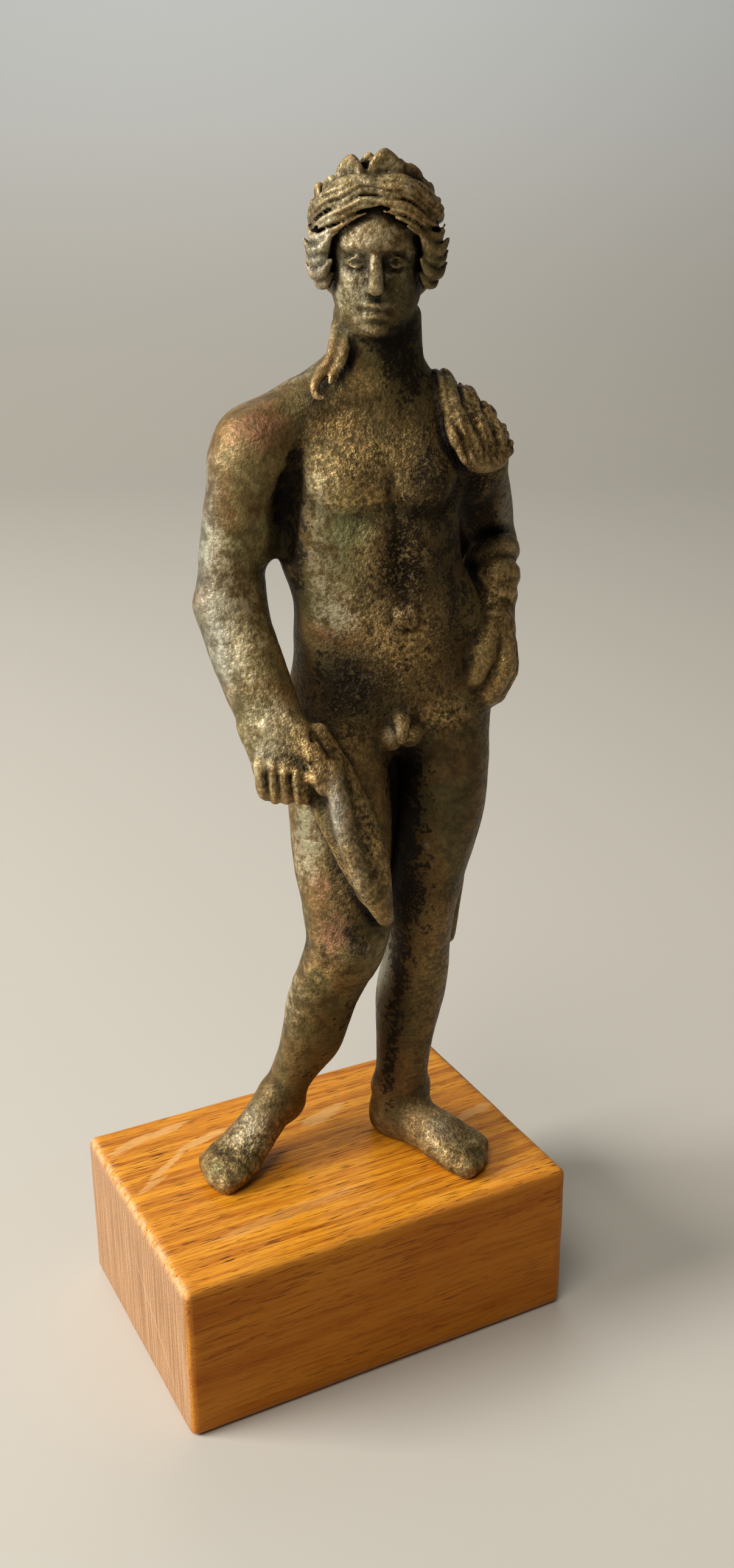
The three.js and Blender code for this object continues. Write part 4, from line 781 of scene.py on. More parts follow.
for hand in (-1, 1):
    face_relief += [
        swell([hand * 2.3, -6.2, 1.8], [2.4, 1.6, 0.7], 0.5),
        swell([hand * 2.4, -5.8, 0], [1.7, 1.8, 1.1], -1.3),
        swell([hand * 3.3, -5.2, -2.2], [2, 2, 1.8], 0.35),
        swell([hand * 1.05, -6.9, -3.2], [0.7, 0.9, 0.6], 0.45),
    ]
eyes = [lump([hand * 2.35, -4.2, 0], [1.4, 1.15, 0.85]) for hand in (-1, 1)]
eyelids = []
for hand in (-1, 1):
    for rise in (0.62, -0.55):
        arc = [[hand * 1.05, -5.1, 0], [hand * 2.3, -5.55, rise], [hand * 3.6, -4.9, 0]]
        eyelids.append(cord(arc, [0.14, 0.24, 0.14]))

# Waved hair, parted in the middle under a smooth roll, with curls at the temples. The wreath is a row of
# cupped leaves that stand up behind the roll and go all the way round.
hair_mass = lump([0, 1.6, 2.4], [7.3, 7.5, 6.7])
curls = []
for side in (-1, 1):
    for line, radii in [
        ([[0, -6.0, 8.2], [2.6, -5.9, 8.2], [5, -4.6, 7.2], [6.9, -2.4, 5.7], [7.6, -0.2, 4.8]],
         [1.4, 1.7, 1.65, 1.3, 0.6]),
        ([[0, -6.8, 6.9], [2.2, -6.7, 6.7], [4.3, -5.8, 5.6], [6.1, -4.2, 4.5], [7.4, -2.5, 4.2]],
         [0.7, 1.0, 1.05, 0.9, 0.3]),
        ([[1.0, -6.7, 5.7], [2.9, -6.4, 5.1], [4.7, -5.3, 3.8], [6.2, -3.9, 2.7]], [0.25, 0.5, 0.6, 0.4]),
        ([[5.2, -4.9, 4.4], [6.2, -4.3, 3.0], [7.4, -3.2, 2.8], [8.3, -2.2, 4.2]], [0.4, 0.75, 0.7, 0.2]),
        ([[5.3, -5.2, 3.4], [6.3, -4.5, 1.7], [7.6, -3.4, 1.3], [8.8, -2.1, 2.7]], [0.3, 0.85, 0.75, 0.2]),
        ([[5.7, -4.5, 1.5], [6.6, -3.9, 0.3], [7.7, -2.9, 0.1], [8.6, -1.9, 1.2]], [0.35, 0.75, 0.7, 0.2]),
        ([[5.4, -4.5, 0.3], [6.4, -3.9, -1.2], [7.5, -2.8, -1.4], [8.5, -1.6, -0.2]], [0.3, 0.8, 0.7, 0.2]),
        ([[5.3, -3.8, -1.3], [6.1, -3.2, -2.4], [6.9, -2.3, -2.6], [7.6, -1.6, -1.8]], [0.3, 0.7, 0.6, 0.2]),
        ([[6.3, -1.6, 4.6], [6.7, -1.6, 1.4], [6.3, -1.4, -1.8]], [1.2, 1.4, 0.8]),
        ([[6.6, -2.2, 3.6], [7.4, -1.2, 1.6], [7.6, 0.2, -0.4], [7.2, 1.2, -2.4]], [0.8, 1.0, 0.9, 0.4]),
        ([[6.4, 0.4, 2.4], [7.2, 1.4, 0.4], [6.9, 2.6, -1.6], [6.6, 3.2, -3.2]], [1.2, 1.2, 1.0, 0.4]),
        ([[6.3, 3.0, 2.4], [6.8, 4.0, 0], [6.0, 5.0, -2.4], [5.2, 5.0, -4.2]], [1.2, 1.3, 1.1, 0.4]),
    ]:
        curls.append(cord(np.array(line) * (side, 1, 1), radii))
for across in (-5.4, -3.3, -1.1, 1.1, 3.3, 5.4):
    back = 7.9 - 0.09 * across ** 2
    lock_line = [[across, back - 0.4, 3.6], [across * 0.9 + 0.4, back, 0.4],
                 [across * 0.8 - 0.4, back - 0.3, -2.6],
                 [across * 0.62 + 0.2, back - 2, -6]]
    curls.append(cord(lock_line, [1.4, 1.55, 1.45, 0.8]))


def wreath_leaf(across, back, up, wide, tall, askew=0.0):
    """A leaf: an egg drawn to a point above, leaning out from the middle of the head and a little askew,
    less a hollow in its outer side and a rib up the middle of the hollow."""
    turn = math.atan2(back - 1.4, across)
    ox, oy = math.cos(turn), math.sin(turn)
    petal = lump([0, 0, 0], [1.25, wide, tall])
    hollow = swell([1.5, 0, 0.2], [1.1, wide * 0.62, tall * 0.68], -1.6)
    rib = score([[1.1, 0, -tall * 0.7], [1.1, 0, tall * 0.7]], 0.24, -0.28)

    def distance(p):
        x, y, z = p[0] - across, p[1] - back, p[2] - up
        over = y * ox - x * oy
        height = z * math.cos(askew) + over * math.sin(askew)
        over = over * math.cos(askew) - z * math.sin(askew)
        share = np.clip(height / tall, 0, 1)
        q = np.stack([x * ox + y * oy - z * 0.22, over / (1 - 0.42 * share * share), height])
        return petal(q) - hollow(q) - rib(q)

    return within([across, back, up], [across, back, up], 4, FAR, distance)


front_leaves = [
    (-2.9, -5.2, 9.4, 2.0, 2.7, 0.12),
    (1.1, -5.4, 9.9, 2.3, 2.8, -0.08),
    (4, -3.5, 8.7, 2.0, 2.5, -0.3),
    (6, -0.4, 6.9, 2.0, 2.3, -0.4),
    (6.9, 2.8, 5.2, 2.0, 2.2, -0.3),
    (5.7, 6, 3.8, 2.1, 2.1, -0.2),
    (2.2, 7.9, 3.2, 2.1, 2.1, -0.15),
    (-1.8, 8, 3.2, 2.1, 2.1, 0.15),
    (-5.2, 6.3, 3.8, 2.1, 2.1, 0.2),
    (-6.8, 3.2, 5, 2.0, 2.1, 0.3),
    (-6.6, -0.2, 6.8, 1.6, 2.4, 0.25),
    (-7.4, -1.8, 4.2, 1.2, 2.2, 0.35),
]
between_leaves = [
    (-5.2, -3.4, 7.9, 1.5, 2.0, 0.3),
    (-0.9, -4.4, 9.9, 1.5, 2.4, 0.1),
    (2.9, -4.2, 9.4, 1.4, 2.3, -0.25),
    (5.4, -2.2, 7.7, 1.5, 2.0, -0.45),
    (7.1, 1.0, 5.6, 1.5, 1.9, -0.4),
    (6.8, 4.6, 4.2, 1.6, 1.8, -0.3),
    (4.2, 7.4, 3.0, 1.6, 1.8, -0.2),
    (0.2, 8.4, 2.8, 1.6, 1.8, 0),
    (-3.6, 7.6, 3.0, 1.6, 1.8, 0.2),
    (-6.4, 5.0, 4.0, 1.6, 1.8, 0.3),
    (-7.3, 1.4, 5.4, 1.4, 1.9, 0.4),
]
wreath = [wreath_leaf(*leaf) for leaf in front_leaves + between_leaves]


CROWN_BACK = 1.6
LOCKS_ROUND = 16


def in_head(p):
    """Points in the head's own frame: moved to its middle and turned by its turn."""
    turn = math.radians(HEAD[3])
    cos, sin = math.cos(turn), math.sin(turn)
    x, y = p[0] - HEAD[0], p[1] - HEAD[1]
    return np.stack([x * cos + y * sin, y * cos - x * sin, p[2] - HEAD[2]])


def combed(q):
    """Strands that fan out from the crown: grooves along the way round the head, bent a little as they go
    outward, and fading away at the whorl."""
    outward = np.hypot(q[0], q[1] - CROWN_BACK)
    round_about = np.arctan2(q[0], q[1] - CROWN_BACK) + 0.16 * np.sin(outward * 0.9)
    round_about = round_about + 0.05 * np.sin(q[2] * 1.6)
    return -0.28 * np.abs(np.sin(round_about * LOCKS_ROUND)) ** 3 * np.clip((outward - 0.6) / 2.4, 0, 1)


def strands(q):
    """Wavy grooves along the front hair that fall away on both sides of the parting."""
    level = q[2] + 0.055 * q[0] ** 2 + 0.22 * np.sin(q[0] * 1.2)
    in_front = np.clip((-1 - q[1]) / 1.5, 0, 1) * np.clip((q[2] - 2.5) / 1.5, 0, 1)
    in_front = in_front * np.clip((9.6 - q[2]) / 0.8, 0, 1)
    return -0.3 * np.abs(np.sin(level * 3.6)) ** 5 * in_front


def head(p):
    q = in_head(p)
    flesh = blend(1.4, skull(q), face(q)) - relief(face_relief, q)
    flesh = blend(0.5, flesh, nose(q), *all_of(eyes, q))
    flesh = blend(0.25, flesh, least(eyelids, q))
    hair = blend(0.3, hair_mass(q) - combed(q), least(curls, q) - strands(q))
    return blend(0.35, flesh, hair, least(wreath, q))


neck_lock = [
    cord([[-4.4, -0.6, 118.6], [-5.0, -2.6, 116.8], [-5.9, -3.9, 114.9], [-7.2, -4.2, 113.4],
          [-8.2, -4.8, 112.0], [-8.1, -5.4, 110.8], [-7.2, -5.8, 110.6]], [0.8, 1, 0.95, 0.8, 0.6, 0.5, 0.3]),
    cord([[-3.7, -2.6, 118.0], [-4.3, -4.1, 116.4], [-4.9, -4.7, 114.8], [-6.0, -5.0, 113.2],
          [-6.4, -5.4, 112.4]], [0.6, 0.75, 0.7, 0.5, 0.3]),
]
loins = [
    cord([[2.5, -6.8, 68.4], [2.4, -7.5, 67.2], [2.2, -7.6, 66.1]], [1.05, 0.85, 0.6]),
    lump([1.4, -6.2, 66.0], [1.5, 1.2, 1.6]),
    lump([3.6, -6.3, 66.3], [1.6, 1.2, 1.6]),
]


armpit = [
    score([[-10.2, -5.8, 105], [-10.9, -5.4, 102.6], [-11.4, -4.6, 99.6]], 0.7, 1.6),
    score([[-11.4, -4.2, 100.4], [-12.0, -3.6, 96], [-12.2, -2.8, 91.6]], 1.4, 3.0),
    score([[13.4, -5, 101.4], [13.2, -3.6, 98], [13, -2.0, 93]], 1.2, 2.4),
]


def between(low, high, shape):
    return within([-FAR, -FAR, low], [FAR, FAR, high], 0, FAR, shape)


def flesh_of_trunk(p):
    body = blend(2.4, trunk(p), neck(p)) - relief(trunk_relief, p)
    return blend(2.6, body, *all_of(shoulders, p))


upper = between(57, FAR * 2, flesh_of_trunk)
lower = between(-FAR, 86, legs)
arms = between(54, 112, lambda p: np.minimum(right_arm(p), left_arm(p)))
front = between(58, 74, lambda p: least(loins, p))
clothes = between(22, 116, cloak)
leaf = between(38, 76, lambda p: blend(1.8, held_leaf(p), held_rim(p)))
crown = between(108, FAR * 2, head)
lock = between(106, 124, lambda p: blend(0.4, *all_of(neck_lock, p)))


def casting(p):
    flesh = blend(1.4, blend(3, upper(p), lower(p)), arms(p), front(p)) - relief(armpit, p)
    dressed = blend(0.7, flesh, clothes(p), leaf(p), crown(p), lock(p))
    return np.maximum(dressed, SOLE - p[2])


# The skin is drawn where the casting's distance is nothing. The space is cut by planes that lie closer
# together round the head, and looked through in wide boxes first, so that only those near the skin are
# worked out finely.
STEP = 0.36
HEAD_STEP = 0.23
WIDE = 4
MOST_FACES = 190000
SPACE_LOW = (-31, -17, -1.2)
SPACE_HIGH = (25, 14.5, 142)
HEAD_LOW = (-10, -11.5, 112)
HEAD_HIGH = (10.5, 9.5, 142)


def planes(low, high, fine_low, fine_high, coarse, fine):
    """Where the planes lie along one axis: `coarse` apart, and `fine` apart between two places."""
    stretches = [(low, fine_low, coarse), (fine_low, fine_high, fine), (fine_high, high, coarse)]
    parts = []
    for a, b, gap in stretches:
        if b > a:
            parts.append(np.linspace(a, b, max(int((b - a) / gap), 1), endpoint=False))
    lines = np.concatenate(parts)
    return lines[: len(lines) // WIDE * WIDE]


def cast_skin():
    """The skin as points and quads: the fine distances go into a grid, whose level surface is then drawn."""
    fine_steps = (HEAD_STEP * 1.25, HEAD_STEP * 1.25, HEAD_STEP)
    spans = zip(SPACE_LOW, SPACE_HIGH, HEAD_LOW, HEAD_HIGH, fine_steps)
    lines = [planes(*ends, STEP, fine_step) for *ends, fine_step in spans]
    counts = [len(line) // WIDE for line in lines]
    centres = [line.reshape(-1, WIDE).mean(axis=1) for line in lines]
    boxes = np.stack(np.meshgrid(*[np.arange(n) for n in counts], indexing="ij"), axis=-1).reshape(-1, 3)
    order = np.argsort(boxes[:, 2], kind="stable")
    boxes = boxes[order]
    rough = distances(casting, np.stack([centre[boxes[:, n]] for n, centre in enumerate(centres)]))
    coarse = np.empty(counts)
    coarse[tuple(boxes.T)] = rough
    values = np.repeat(np.repeat(np.repeat(coarse, WIDE, 0), WIDE, 1), WIDE, 2)
    half_box = STEP * WIDE * 1.05 + 0.5
    near = boxes[np.abs(rough) < half_box]
    steps = np.stack(np.meshgrid(*[np.arange(WIDE)] * 3, indexing="ij"), axis=-1).reshape(-1, 3)
    cells = (near[:, None, :] * WIDE + steps).reshape(-1, 3)
    fine = distances(casting, np.stack([line[cells[:, n]] for n, line in enumerate(lines)]))
    values[tuple(cells.T)] = fine
    grid = openvdb.FloatGrid(FAR)
    grid.copyFromArray(values)
    points, quads = grid.convertToQuads(0.0)
    columns = [np.interp(points[:, n], np.arange(len(line)), line) for n, line in enumerate(lines)]
    return np.stack(columns, axis=1), quads


def distances(shape, points, slab=40000):
    """The shape's distances at many points, a slab of them at a time."""
    parts = [shape(points[:, i:i + slab]) for i in range(0, points.shape[1], slab)]
    return np.concatenate(parts)


skin_points, skin_quads = cast_skin()

# It is thinned and stained in millimetres, and comes to metres when it is put in its place on the block.
figure = put_mesh("bronze_figure", skin_points / MM, skin_quads)
thinning = figure.modifiers.new("thin", "DECIMATE")
thinning.ratio = min(1.0, MOST_FACES / (2 * len(skin_quads)))
evaluated = figure.evaluated_get(bpy.context.evaluated_depsgraph_get())
thin_mesh = bpy.data.meshes.new_from_object(evaluated)
figure.modifiers.clear()
figure.data = thin_mesh


# The worn surface: pitted and crusty on the belly, the leaf and the feet, smoother on the thighs and arms.
# Everything is worked out for each corner of the mesh, in the figure's own frame.
def read(collection, name, width):
    values = np.empty(len(collection) * width, dtype=np.float32 if width == 3 else np.int32)
    collection.foreach_get(name, values)
    return values.reshape(-1, width)


corners = read(thin_mesh.vertices, "co", 3).astype(float)
sides = read(thin_mesh.edges, "vertices", 2)
ends = np.concatenate([sides, sides[:, ::-1]])
touching = np.bincount(ends[:, 0], minlength=len(corners)).clip(1)


def spread(values, times):
    """Each corner takes the mean of its neighbours and itself, the given number of times."""
    for _ in range(times):
        sums = [np.bincount(ends[:, 0], values[ends[:, 1], n], len(values)) for n in range(values.shape[1])]
        values = (values + np.stack(sums, axis=1) / touching[:, None]) / 2
    return values


outward_of = read(thin_mesh.vertex_normals, "vector", 3).astype(float)
CREASE_ROUNDS = 6
FOLD_ROUNDS = 50
crease = ((corners - spread(corners, CREASE_ROUNDS)) * outward_of).sum(axis=1)
fold = ((corners - spread(corners, FOLD_ROUNDS)) * outward_of).sum(axis=1)
# Painted shade: how little room lies above each corner, out to 1.2 and 4 mm, which darkens recesses and the
# places between parts nearly to black.
room = [distances(casting, (corners + outward_of * reach).T) / reach for reach in (1.2, 4.0)]
closed_in_shade = np.clip(1 - room[0], 0, 1) * 0.5 + np.clip(1 - room[1], 0, 1) * 0.5


def stain(*patches):
    """Soft patches, each x, y, z, three radii and a strength: a bell for each, laid over one another."""
    bare = np.ones(len(corners))
    for *spot, strength in patches:
        middle, radii = spot[:3], spot[3:]
        bare *= 1 - strength * np.exp(-(((corners - middle) / radii) ** 2).sum(axis=1))
    return 1 - bare


crusty = stain(
    (2, -8, 90, 6, 5, 9, 1), (2.5, -8, 77, 8, 5, 8, 1), (0, -7, 102, 11, 6, 7, 0.5),
    (-4, -7, 72, 7, 5, 6, 1), (-5, -13, 53, 4, 4, 10, 1), (-11, -12, 64, 5, 4, 5, 0.8),
    (-21, -6, 3, 7, 7, 6, 0.65), (9, -9, 3, 8, 8, 5, 0.4), (-9, -10, 36, 7, 6, 7, 0.6),
    (13, 0, 106, 7, 9, 7, 1), (16.5, 0, 82, 4, 6, 7, 0.7), (8, -7, 69, 5, 4, 3, 0.9),
)
lumps = lattice_noise(corners, 1.25, 11) * 0.7 + (0.5 - 2 * np.abs(lattice_noise(corners, 1.5, 12))) * 0.6
worn = 0.07 * lattice_noise(corners, 3.4, 13) * (corners[:, 2] < 116)
worn += (0.035 + 0.18 * crusty) * lumps * np.where(corners[:, 2] > 114, 0.6, 1)
worn += 0.26 * stain((13, 0, 106, 6, 9, 6, 1), (16.5, 0, 81, 4, 6, 9, 0.6)) * lattice_noise(corners, 2.1, 14)
worn *= np.clip((corners[:, 2] - SOLE) / 0.6, 0, 1)
corners = corners + outward_of * worn[:, None]

# The marks hold both the patina's stains and the light and shade that are painted into its colour.
marks = {
    "crease": np.clip(0.5 + crease * 2.2 + lumps * crusty * 0.12, 0, 1),
    "fold": np.clip(0.5 + fold * 0.9, 0, 1),
    "closed_in_shade": closed_in_shade,
    "crusty": crusty,
    "green": stain(
        (-4.3, -7.9, 95, 4.2, 4, 4, 0.9), (-16, -4, 97, 5, 4, 9, 0.5), (-10.7, -7.8, 54.5, 3.5, 4, 5, 0.6),
        (-6, -7, 88, 4, 4, 8, 0.45), (-25, -8, 3, 2.5, 3, 2, 0.8), (11, -5, 99, 4, 4, 5, 0.3),
    ),
    "red": stain(
        (-15.2, -4.5, 107, 4.6, 4, 3.6, 0.9), (-7.6, -4.9, 80.3, 2, 3, 1.8, 0.7),
        (-8.0, -12.7, 41.4, 3.4, 3, 4.4, 0.95), (-9.5, -10.6, 47.6, 2, 3, 2.4, 0.7),
        (-9.6, -12.6, 67.2, 1.8, 3, 3, 0.6), (-13, -9, 74, 2, 3, 2.4, 0.5), (-17, 0, 12, 4, 4, 3, 0.35),
    ),
    # Black crust on the belly and the left pectoral, and painted shade: down the middle of the chest, on the
    # flank away from the light, between the thighs and the lower legs, under the tip of the held leaf, on the
    # inner right shin, between the right arm and the chest, under the chin, on the left side of the neck and
    # face, and in the gap by the left upper arm.
    "black_crust_and_shade": stain(
        (-4.4, -6.3, 73.6, 6.6, 4, 6, 1), (2.2, -8, 90, 4, 4, 8, 0.95), (6, -8, 101, 4, 4, 6, 0.7),
        (5.2, -8, 100, 1.3, 4, 3.4, 1), (7.4, -7.2, 99, 1.0, 4, 2.6, 0.9), (1.2, -9, 94, 1.2, 3, 3, 0.8),
        (10, -6, 92, 5, 5, 14, 0.6), (9.6, -6, 80, 5, 5, 8, 0.45), (3.5, -4, 61, 2.9, 5, 6, 1),
        (3.7, -4, 51, 3.0, 5, 9, 1), (4.0, -4, 41, 3.0, 5, 7, 1), (3.0, -3.8, 30, 1.7, 4, 12, 0.9),
        (0.9, -3, 66, 2.2, 3, 1.6, 0.8), (1.9, -3, 13, 1.2, 3, 9, 0.8), (-5.2, -14.0, 40.5, 2, 2, 4, 0.85),
        (-5, -8, 27, 4, 5, 9, 0.5), (-10, -3, 14, 3, 4, 7, 0.5), (-10.8, -4.8, 103, 1.3, 5, 2.6, 0.9),
        (-11.7, -4, 97, 2.2, 6, 5.4, 1), (-10.4, -2.6, 89.5, 1.1, 4, 6, 0.9),
        (1.6, -5, 117.6, 4.4, 3, 1.5, 1), (3.6, -4, 114, 4, 4, 4.6, 1), (13.4, -2, 98.4, 3.4, 4, 3.2, 1),
        (14.6, 1, 91.6, 3.0, 5, 5.4, 1), (14.0, -1.8, 96.0, 2.8, 5, 5.0, 1),
        (15.4, 1.6, 93.0, 2.2, 5, 5, 1), (5, -3, 121, 5, 6, 6, 0.3),
    ),
    # Pale grey-green patina in patches. On the loins, on two small spots on the legs and on the outer right
    # arm that faces the window, the pale is a painted highlight.
    "pale": stain(
        (-8.6, -7.0, 100, 3, 4, 5, 0.6), (-8.1, -5.7, 90, 3.4, 4, 8, 0.6),
        (-5.5, -6.4, 83.4, 3.4, 4, 3, 0.8), (-21.5, -2, 94, 3, 5, 14, 0.55), (-19, -5, 82, 4, 4, 8, 0.8),
        (-16.1, -10.7, 69, 5, 4, 7, 0.8), (-11, -8, 53, 3, 4, 9, 0.8), (-14, -6, 30, 3, 5, 8, 0.7),
        (-21, -6, 6, 6, 5, 3, 0.6), (-4.0, -13.8, 39.0, 0.9, 2, 1.0, 0.9),
        (6.2, -5.9, 49.9, 0.8, 2, 0.6, 1), (0.9, -8, 67.3, 1.6, 3, 2.4, 0.75), (-4, -6, 126, 9, 6, 9, 0.75),
        (0, -5, 135, 9, 6, 4, 0.6), (9, -10, 5, 5, 5, 3, 0.4), (-8, 2, 112, 6, 5, 6, 0.4),
        (0, 10, 80, 14, 6, 40, 0.35),
    ),
    # Gold: rubbed bare metal, and painted highlights where the light catches the upper chest, the ridge under
    # the pectorals, the neck, the cloak, the left forearm and hand, and the shins.
    "gold_rub_and_highlight": stain(
        (-5.2, -5.5, 107.4, 3.6, 4, 3, 1), (3.5, -6, 106, 1.1, 4, 3.2, 1),
        (-2.6, -4.4, 112.4, 4, 4, 2.2, 0.9), (-3, -7, 103, 9, 4, 6, 0.5),
        (-0.5, -8.9, 98.2, 6, 2, 0.8, 0.9), (3.0, -7.8, 79, 6.5, 4, 6.5, 0.75), (2, -8, 91, 5, 4, 7, 0.45),
        (7.6, -6.5, 68.4, 4, 4, 2, 1), (3.6, -7.4, 67.0, 1.4, 3, 1.6, 1), (-5, -9, 66, 5, 5, 4, 0.7),
        (13, -4, 105, 7, 7, 6, 0.9), (17.7, 0.9, 85, 4, 5, 6, 1), (15.8, -5.1, 75.9, 4, 5, 6, 0.95),
        (-17, -6, 84, 3.4, 4, 6, 0.6), (-12, -11, 67, 4, 4, 6, 0.75), (-4, -13, 54, 4.4, 4, 11, 0.8),
        (8, -6, 12, 3, 4, 10, 0.5), (-20, -6, 6, 7, 6, 5, 0.45), (9, -10, 4, 6, 6, 4, 0.4),
        (1, -6, 133, 7, 5, 5, 0.5), (8, -5, 32, 4, 4, 14, 0.45),
    ),
    # Painted sheen: the pale grey-blue of the window's light along the outer right arm, the rim of the held
    # leaf, the edges of the left arm, the feet, the left side of the head and between the lower legs, with a
    # little grey patina in it.
    "grey_patina_and_sheen": stain(
        (-22.6, -2, 92, 1.7, 6, 16, 0.55), (-20.9, -4, 79, 1.8, 4, 7, 0.5),
        (-8.1, -15.2, 59.6, 1.5, 1.6, 4.5, 0.9), (-5.4, -15.4, 50, 1.2, 1.6, 5, 0.5),
        (1.5, 0.6, 31, 0.9, 4, 8, 0.8), (-8, -4, 125, 2, 5, 7, 0.6), (8, -9, 6, 2.4, 2.4, 2, 0.5),
        (-20, -5, 8, 3, 3, 2, 0.5), (12, 2, 93, 1.5, 4, 3, 0.5), (19.4, 2.6, 95, 1.3, 4, 6, 0.7),
    ),
    "shade": stain(
        (9.8, -5, 58, 6.5, 8, 14, 0.75), (9.6, -5, 38, 4, 8, 8, 0.45), (4, -5, 22, 7, 7, 9, 0.5),
        (10, -9, 3, 7, 7, 5, 0.25), (-20, -6, 4, 7, 7, 5, 0.2), (-9, -6, 22, 6, 9, 9, 0.4),
        (3.6, -5, 122, 5, 6, 9, 0.6), (-4, -6, 124, 5, 5, 8, 0.35), (8, -7, 98, 5, 5, 9, 0.35),
        (-13, -4, 99, 3, 5, 6, 0.4),
    ),
}
stand_turn = Matrix.Rotation(math.radians(STAND[2]), 3, "Z")
world_corners = corners @ np.array(stand_turn).T + np.array([STAND[0], STAND[1], oak_high[2]])
figure_low, figure_high = (np.array(corner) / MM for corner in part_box("figure"))
world_corners = np.clip(world_corners, figure_low, figure_high)
thin_mesh.vertices.foreach_set("co", (world_corners * MM).astype(np.float32).ravel())
put_marks(thin_mesh, marks)
thin_mesh.update()

# The patina: brown and olive over bare metal, gold where it is rubbed, black in the hollows, green and red in
# patches, all broken up by a grain of half a millimetre. Light and shade are painted into it as well: gold
# highlights and glints where the light catches, a grey sheen on edges that face the window, black painted
# shade in the gaps between parts and under the chin, and darker painted shade on the sides away from the
# light.
bronze = Paint("bronze_patina")
grain = bronze.noise(0.62, 2.5, 0.6)
clods = bronze.noise(1.9, 3, 0.6)
clouds = bronze.noise(8, 3, 0.55, 0.6)
fleck = bronze.noise(0.33, 2, 0.5)
clod_unrest = bronze.ramp(clods, 0.2, 0.8, -0.32, 0.32)
unrest = bronze.math("ADD", clod_unrest, bronze.ramp(grain, 0.25, 0.75, -0.22, 0.22))


def patch(name, high, most, stir=unrest):
    """How much of a stain shows: its mark plus the unrest of the grain, eased in, times an eased edge."""
    stained = bronze.math("ADD", bronze.mark(name), stir)
    return bronze.times(bronze.ramp(stained, 0.3, high, 0, most), bronze.ramp(bronze.mark(name), 0.04, 0.2))


tone = bronze.blend(bronze.ramp(clouds, 0.36, 0.64), (0.135, 0.076, 0.024), (0.105, 0.080, 0.028))
busy = bronze.ramp(bronze.mark("crusty"), 0, 0.8, 0.45, 1)
dark_clods = bronze.times(bronze.ramp(clods, 0.54, 0.36, 0, 0.75), busy)
light_clods = bronze.times(bronze.ramp(clods, 0.52, 0.7, 0, 0.6), busy)
# Painted sheen of grey-blue light, with a little grey patina.
grey_patina_and_sheen_share = bronze.times(bronze.mark("grey_patina_and_sheen"), bronze.ramp(clods, 0.3, 0.7, 0.35, 0.85))
tone = bronze.blend(dark_clods, tone, (0.040, 0.022, 0.008))
tone = bronze.blend(light_clods, tone, (0.26, 0.155, 0.055))
# Pale patina, and a painted highlight in a few places.
tone = bronze.blend(patch("pale", 1.0, 0.85), tone, (0.30, 0.255, 0.155))
tone = bronze.blend(patch("green", 1.0, 0.75), tone, (0.105, 0.112, 0.045))
tone = bronze.blend(patch("red", 1.0, 0.62), tone, (0.17, 0.070, 0.040))
tone = bronze.blend(grey_patina_and_sheen_share, tone, (0.24, 0.255, 0.225))
# Gold of rubbed metal with painted highlights in it. The glints below are painted glints of light on the
# grain.
gold_rub_and_highlight_share = bronze.times(bronze.mark("gold_rub_and_highlight"), bronze.ramp(grain, 0.40, 0.72, 0.15, 0.95))
tone = bronze.blend(gold_rub_and_highlight_share, tone, (0.40, 0.25, 0.085))
# Black crust, and painted shade in the gaps and on the sides away from the light.
black_crust_and_shade_share = patch("black_crust_and_shade", 0.85, 0.96, bronze.times(unrest, 1.5))
tone = bronze.blend(black_crust_and_shade_share, tone, (0.010, 0.007, 0.004))
knobs = bronze.ramp(grain, 0.52, 0.64, 0, 0.75)
gold_glint_knobs = bronze.times(bronze.mark("crusty"), bronze.mark("gold_rub_and_highlight"), knobs)
glints = bronze.times(bronze.mark("gold_rub_and_highlight"), bronze.ramp(fleck, 0.56, 0.68, 0, 0.7))
glints = bronze.math("MAXIMUM", glints, gold_glint_knobs)
tone = bronze.blend(glints, tone, (0.52, 0.34, 0.13))
rubbed = bronze.times(bronze.ramp(bronze.mark("crease"), 0.55, 0.85), bronze.ramp(fleck, 0.3, 0.65, 0.2, 0.8))
tone = bronze.blend(rubbed, tone, (0.44, 0.30, 0.14))
mottle = bronze.times(bronze.ramp(grain, 0.30, 0.70, 0.78, 1.22), bronze.ramp(clods, 0.3, 0.7, 0.72, 1.28))
tone = bronze.blend(busy, tone, mottle, "MULTIPLY")
tone = bronze.blend(1.0, tone, bronze.ramp(bronze.mark("shade"), 0, 1, 1, 0.42), "MULTIPLY")
pits = bronze.times(bronze.ramp(grain, 0.43, 0.33), bronze.ramp(bronze.mark("crusty"), 0.2, 0.9, 0.08, 0.75))
tone = bronze.blend(pits, tone, (0.018, 0.012, 0.007))
tone = bronze.blend(1.0, tone, bronze.ramp(bronze.mark("fold"), 0.25, 0.75, 0.5, 1.35), "MULTIPLY")
hollow = bronze.ramp(bronze.mark("crease"), 0.46, 0.2, 0, 0.9)
tone = bronze.blend(hollow, tone, (0.013, 0.009, 0.006))
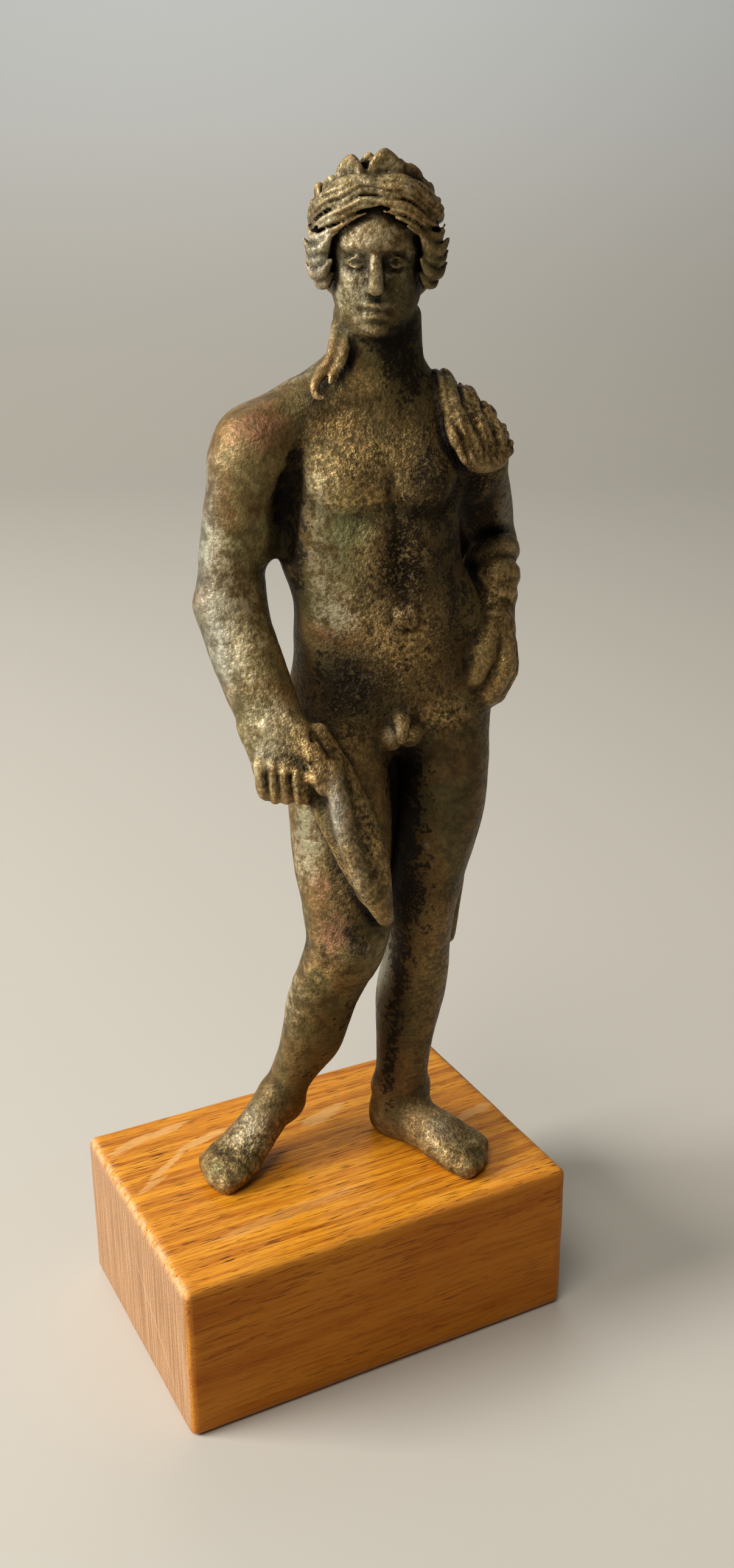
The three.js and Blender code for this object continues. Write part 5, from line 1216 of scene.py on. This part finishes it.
# Painted shade, near black where the body closes in round a corner.
tone = bronze.blend(bronze.ramp(bronze.mark("closed_in_shade"), 0.3, 0.75, 0, 0.93), tone, (0.007, 0.005, 0.004))
metal = bronze.math("ADD", bronze.ramp(gold_rub_and_highlight_share, 0, 1, 0.3, 0.9), bronze.times(rubbed, 0.4))
dull = bronze.math("ADD", bronze.ramp(grain, 0.3, 0.7, 0.56, 0.36), bronze.times(pits, 0.25))
dull = bronze.math("ADD", dull, bronze.times(bronze.mark("black_crust_and_shade"), 0.3))
coarse_bump = bronze.bump(clods, 0.3)
grain_bump = bronze.bump(bronze.times(bronze.ramp(grain, 0.34, 0.66), busy), 0.11, coarse_bump)
fine_bump = bronze.bump(bronze.times(bronze.ramp(fleck, 0.32, 0.68), busy), 0.05, grain_bump)
bronze.set(Base_Color=tone, Metallic=metal, Roughness=dull, Normal=fine_bump, Specular_IOR_Level=0.14)
thin_mesh.materials.clear()
thin_mesh.materials.append(bronze.material)
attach(figure, "root")
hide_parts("figure")


# The table that it stands on, which curves up into a pale wall behind, and the soft light of a room: a
# window on the left, the ceiling, and a faint lamp behind.
FLOOR_TURN = math.radians(-27)
FLOOR_NEAR = -1.2
COVE_FROM = 0.7
COVE_ROUND = 0.6
WALL_HIGH = 2.4
HALF_WIDE = 2.5
floor_mesh = bpy.data.meshes.new("floor")
sweep = [[FLOOR_NEAR, 0], [COVE_FROM, 0]]
for angle in np.linspace(0.05, 1.57, 24):
    sweep.append([COVE_FROM + COVE_ROUND * math.sin(angle), COVE_ROUND - COVE_ROUND * math.cos(angle)])
sweep.append([COVE_FROM + COVE_ROUND, WALL_HIGH])
floor_across = np.array([math.cos(FLOOR_TURN), math.sin(FLOOR_TURN)]) * HALF_WIDE
floor_back = np.array([-math.sin(FLOOR_TURN), math.cos(FLOOR_TURN)])
rows = [[*(side * floor_across + reach * floor_back), height] for reach, height in sweep for side in (-1, 1)]
quads = [[2 * i, 2 * i + 1, 2 * i + 3, 2 * i + 2] for i in range(len(sweep) - 1)]
floor_mesh.from_pydata(rows, [], quads)
floor_mesh.shade_smooth()
floor = put("floor", floor_mesh)
table_top = Paint("table_pale")
height = table_top.tree.nodes.new("ShaderNodeSeparateXYZ")
table_top.give(height.inputs[0], table_top.place)
rise = table_top.ramp(height.outputs[2], 0.0, 0.35)
table_top.set(Base_Color=table_top.blend(rise, (0.54, 0.50, 0.425), (0.73, 0.745, 0.73)), Roughness=0.6)
floor.data.materials.append(table_top.material)


def lamp(name, place, towards, size, power, colour):
    """A square soft light at a place, turned to face a point."""
    light = bpy.data.lights.new(name, "AREA")
    light.size, light.energy, light.color = size, power, colour
    source = put(name, light)
    source.location = place
    z = np.array(place, dtype=float) - np.array(towards, dtype=float)
    z /= np.linalg.norm(z)
    x = np.cross((0, 0, 1), z)
    x /= np.linalg.norm(x)
    y = np.cross(z, x)
    source.rotation_euler = Matrix((x, y, z)).transposed().to_euler()


lamp("window", (-0.84, 0.24, 0.52), (0, 0, 0.09), 0.5, 15.8, (0.98, 0.99, 1.0))
lamp("ceiling", (-0.45, -0.30, 1.05), (0, 0, 0.09), 0.5, 5.3, (1.0, 0.96, 0.90))
lamp("back", (0.3, 0.9, 0.9), (0, 0, 0.08), 0.8, 2.0, (1.0, 0.98, 0.95))
world = bpy.data.worlds.new("room")
world.use_nodes = True
world.node_tree.nodes["Background"].inputs[0].default_value = (0.74, 0.74, 0.74, 1)
world.node_tree.nodes["Background"].inputs[1].default_value = 0.1
bpy.context.scene.world = world
bpy.context.scene.view_settings.view_transform = "Standard"

# The camera is held near, above and to the left, and looks down at the figure. Its place is in metres, and
# its three directions are those of the picture: to the right, down and into it.
LENS = 35.016
camera_data = bpy.data.cameras.new("camera")
camera_data.sensor_width = 36
camera_data.sensor_fit = "AUTO"
camera_data.lens = LENS
camera_data.clip_start = 0.01
camera = put("camera", camera_data)
RIGHT = (0.88784542, -0.46012883, -0.00346054)
DOWN = (-0.16923341, -0.31953378, -0.93234018)
FORWARD = (0.42789084, 0.8283596, -0.36156577)
camera.matrix_world = Matrix((
    (RIGHT[0], -DOWN[0], -FORWARD[0], -0.08254),
    (RIGHT[1], -DOWN[1], -FORWARD[1], -0.17455),
    (RIGHT[2], -DOWN[2], -FORWARD[2], 0.15798),
    (0, 0, 0, 1),
))
bpy.context.scene.camera = camera
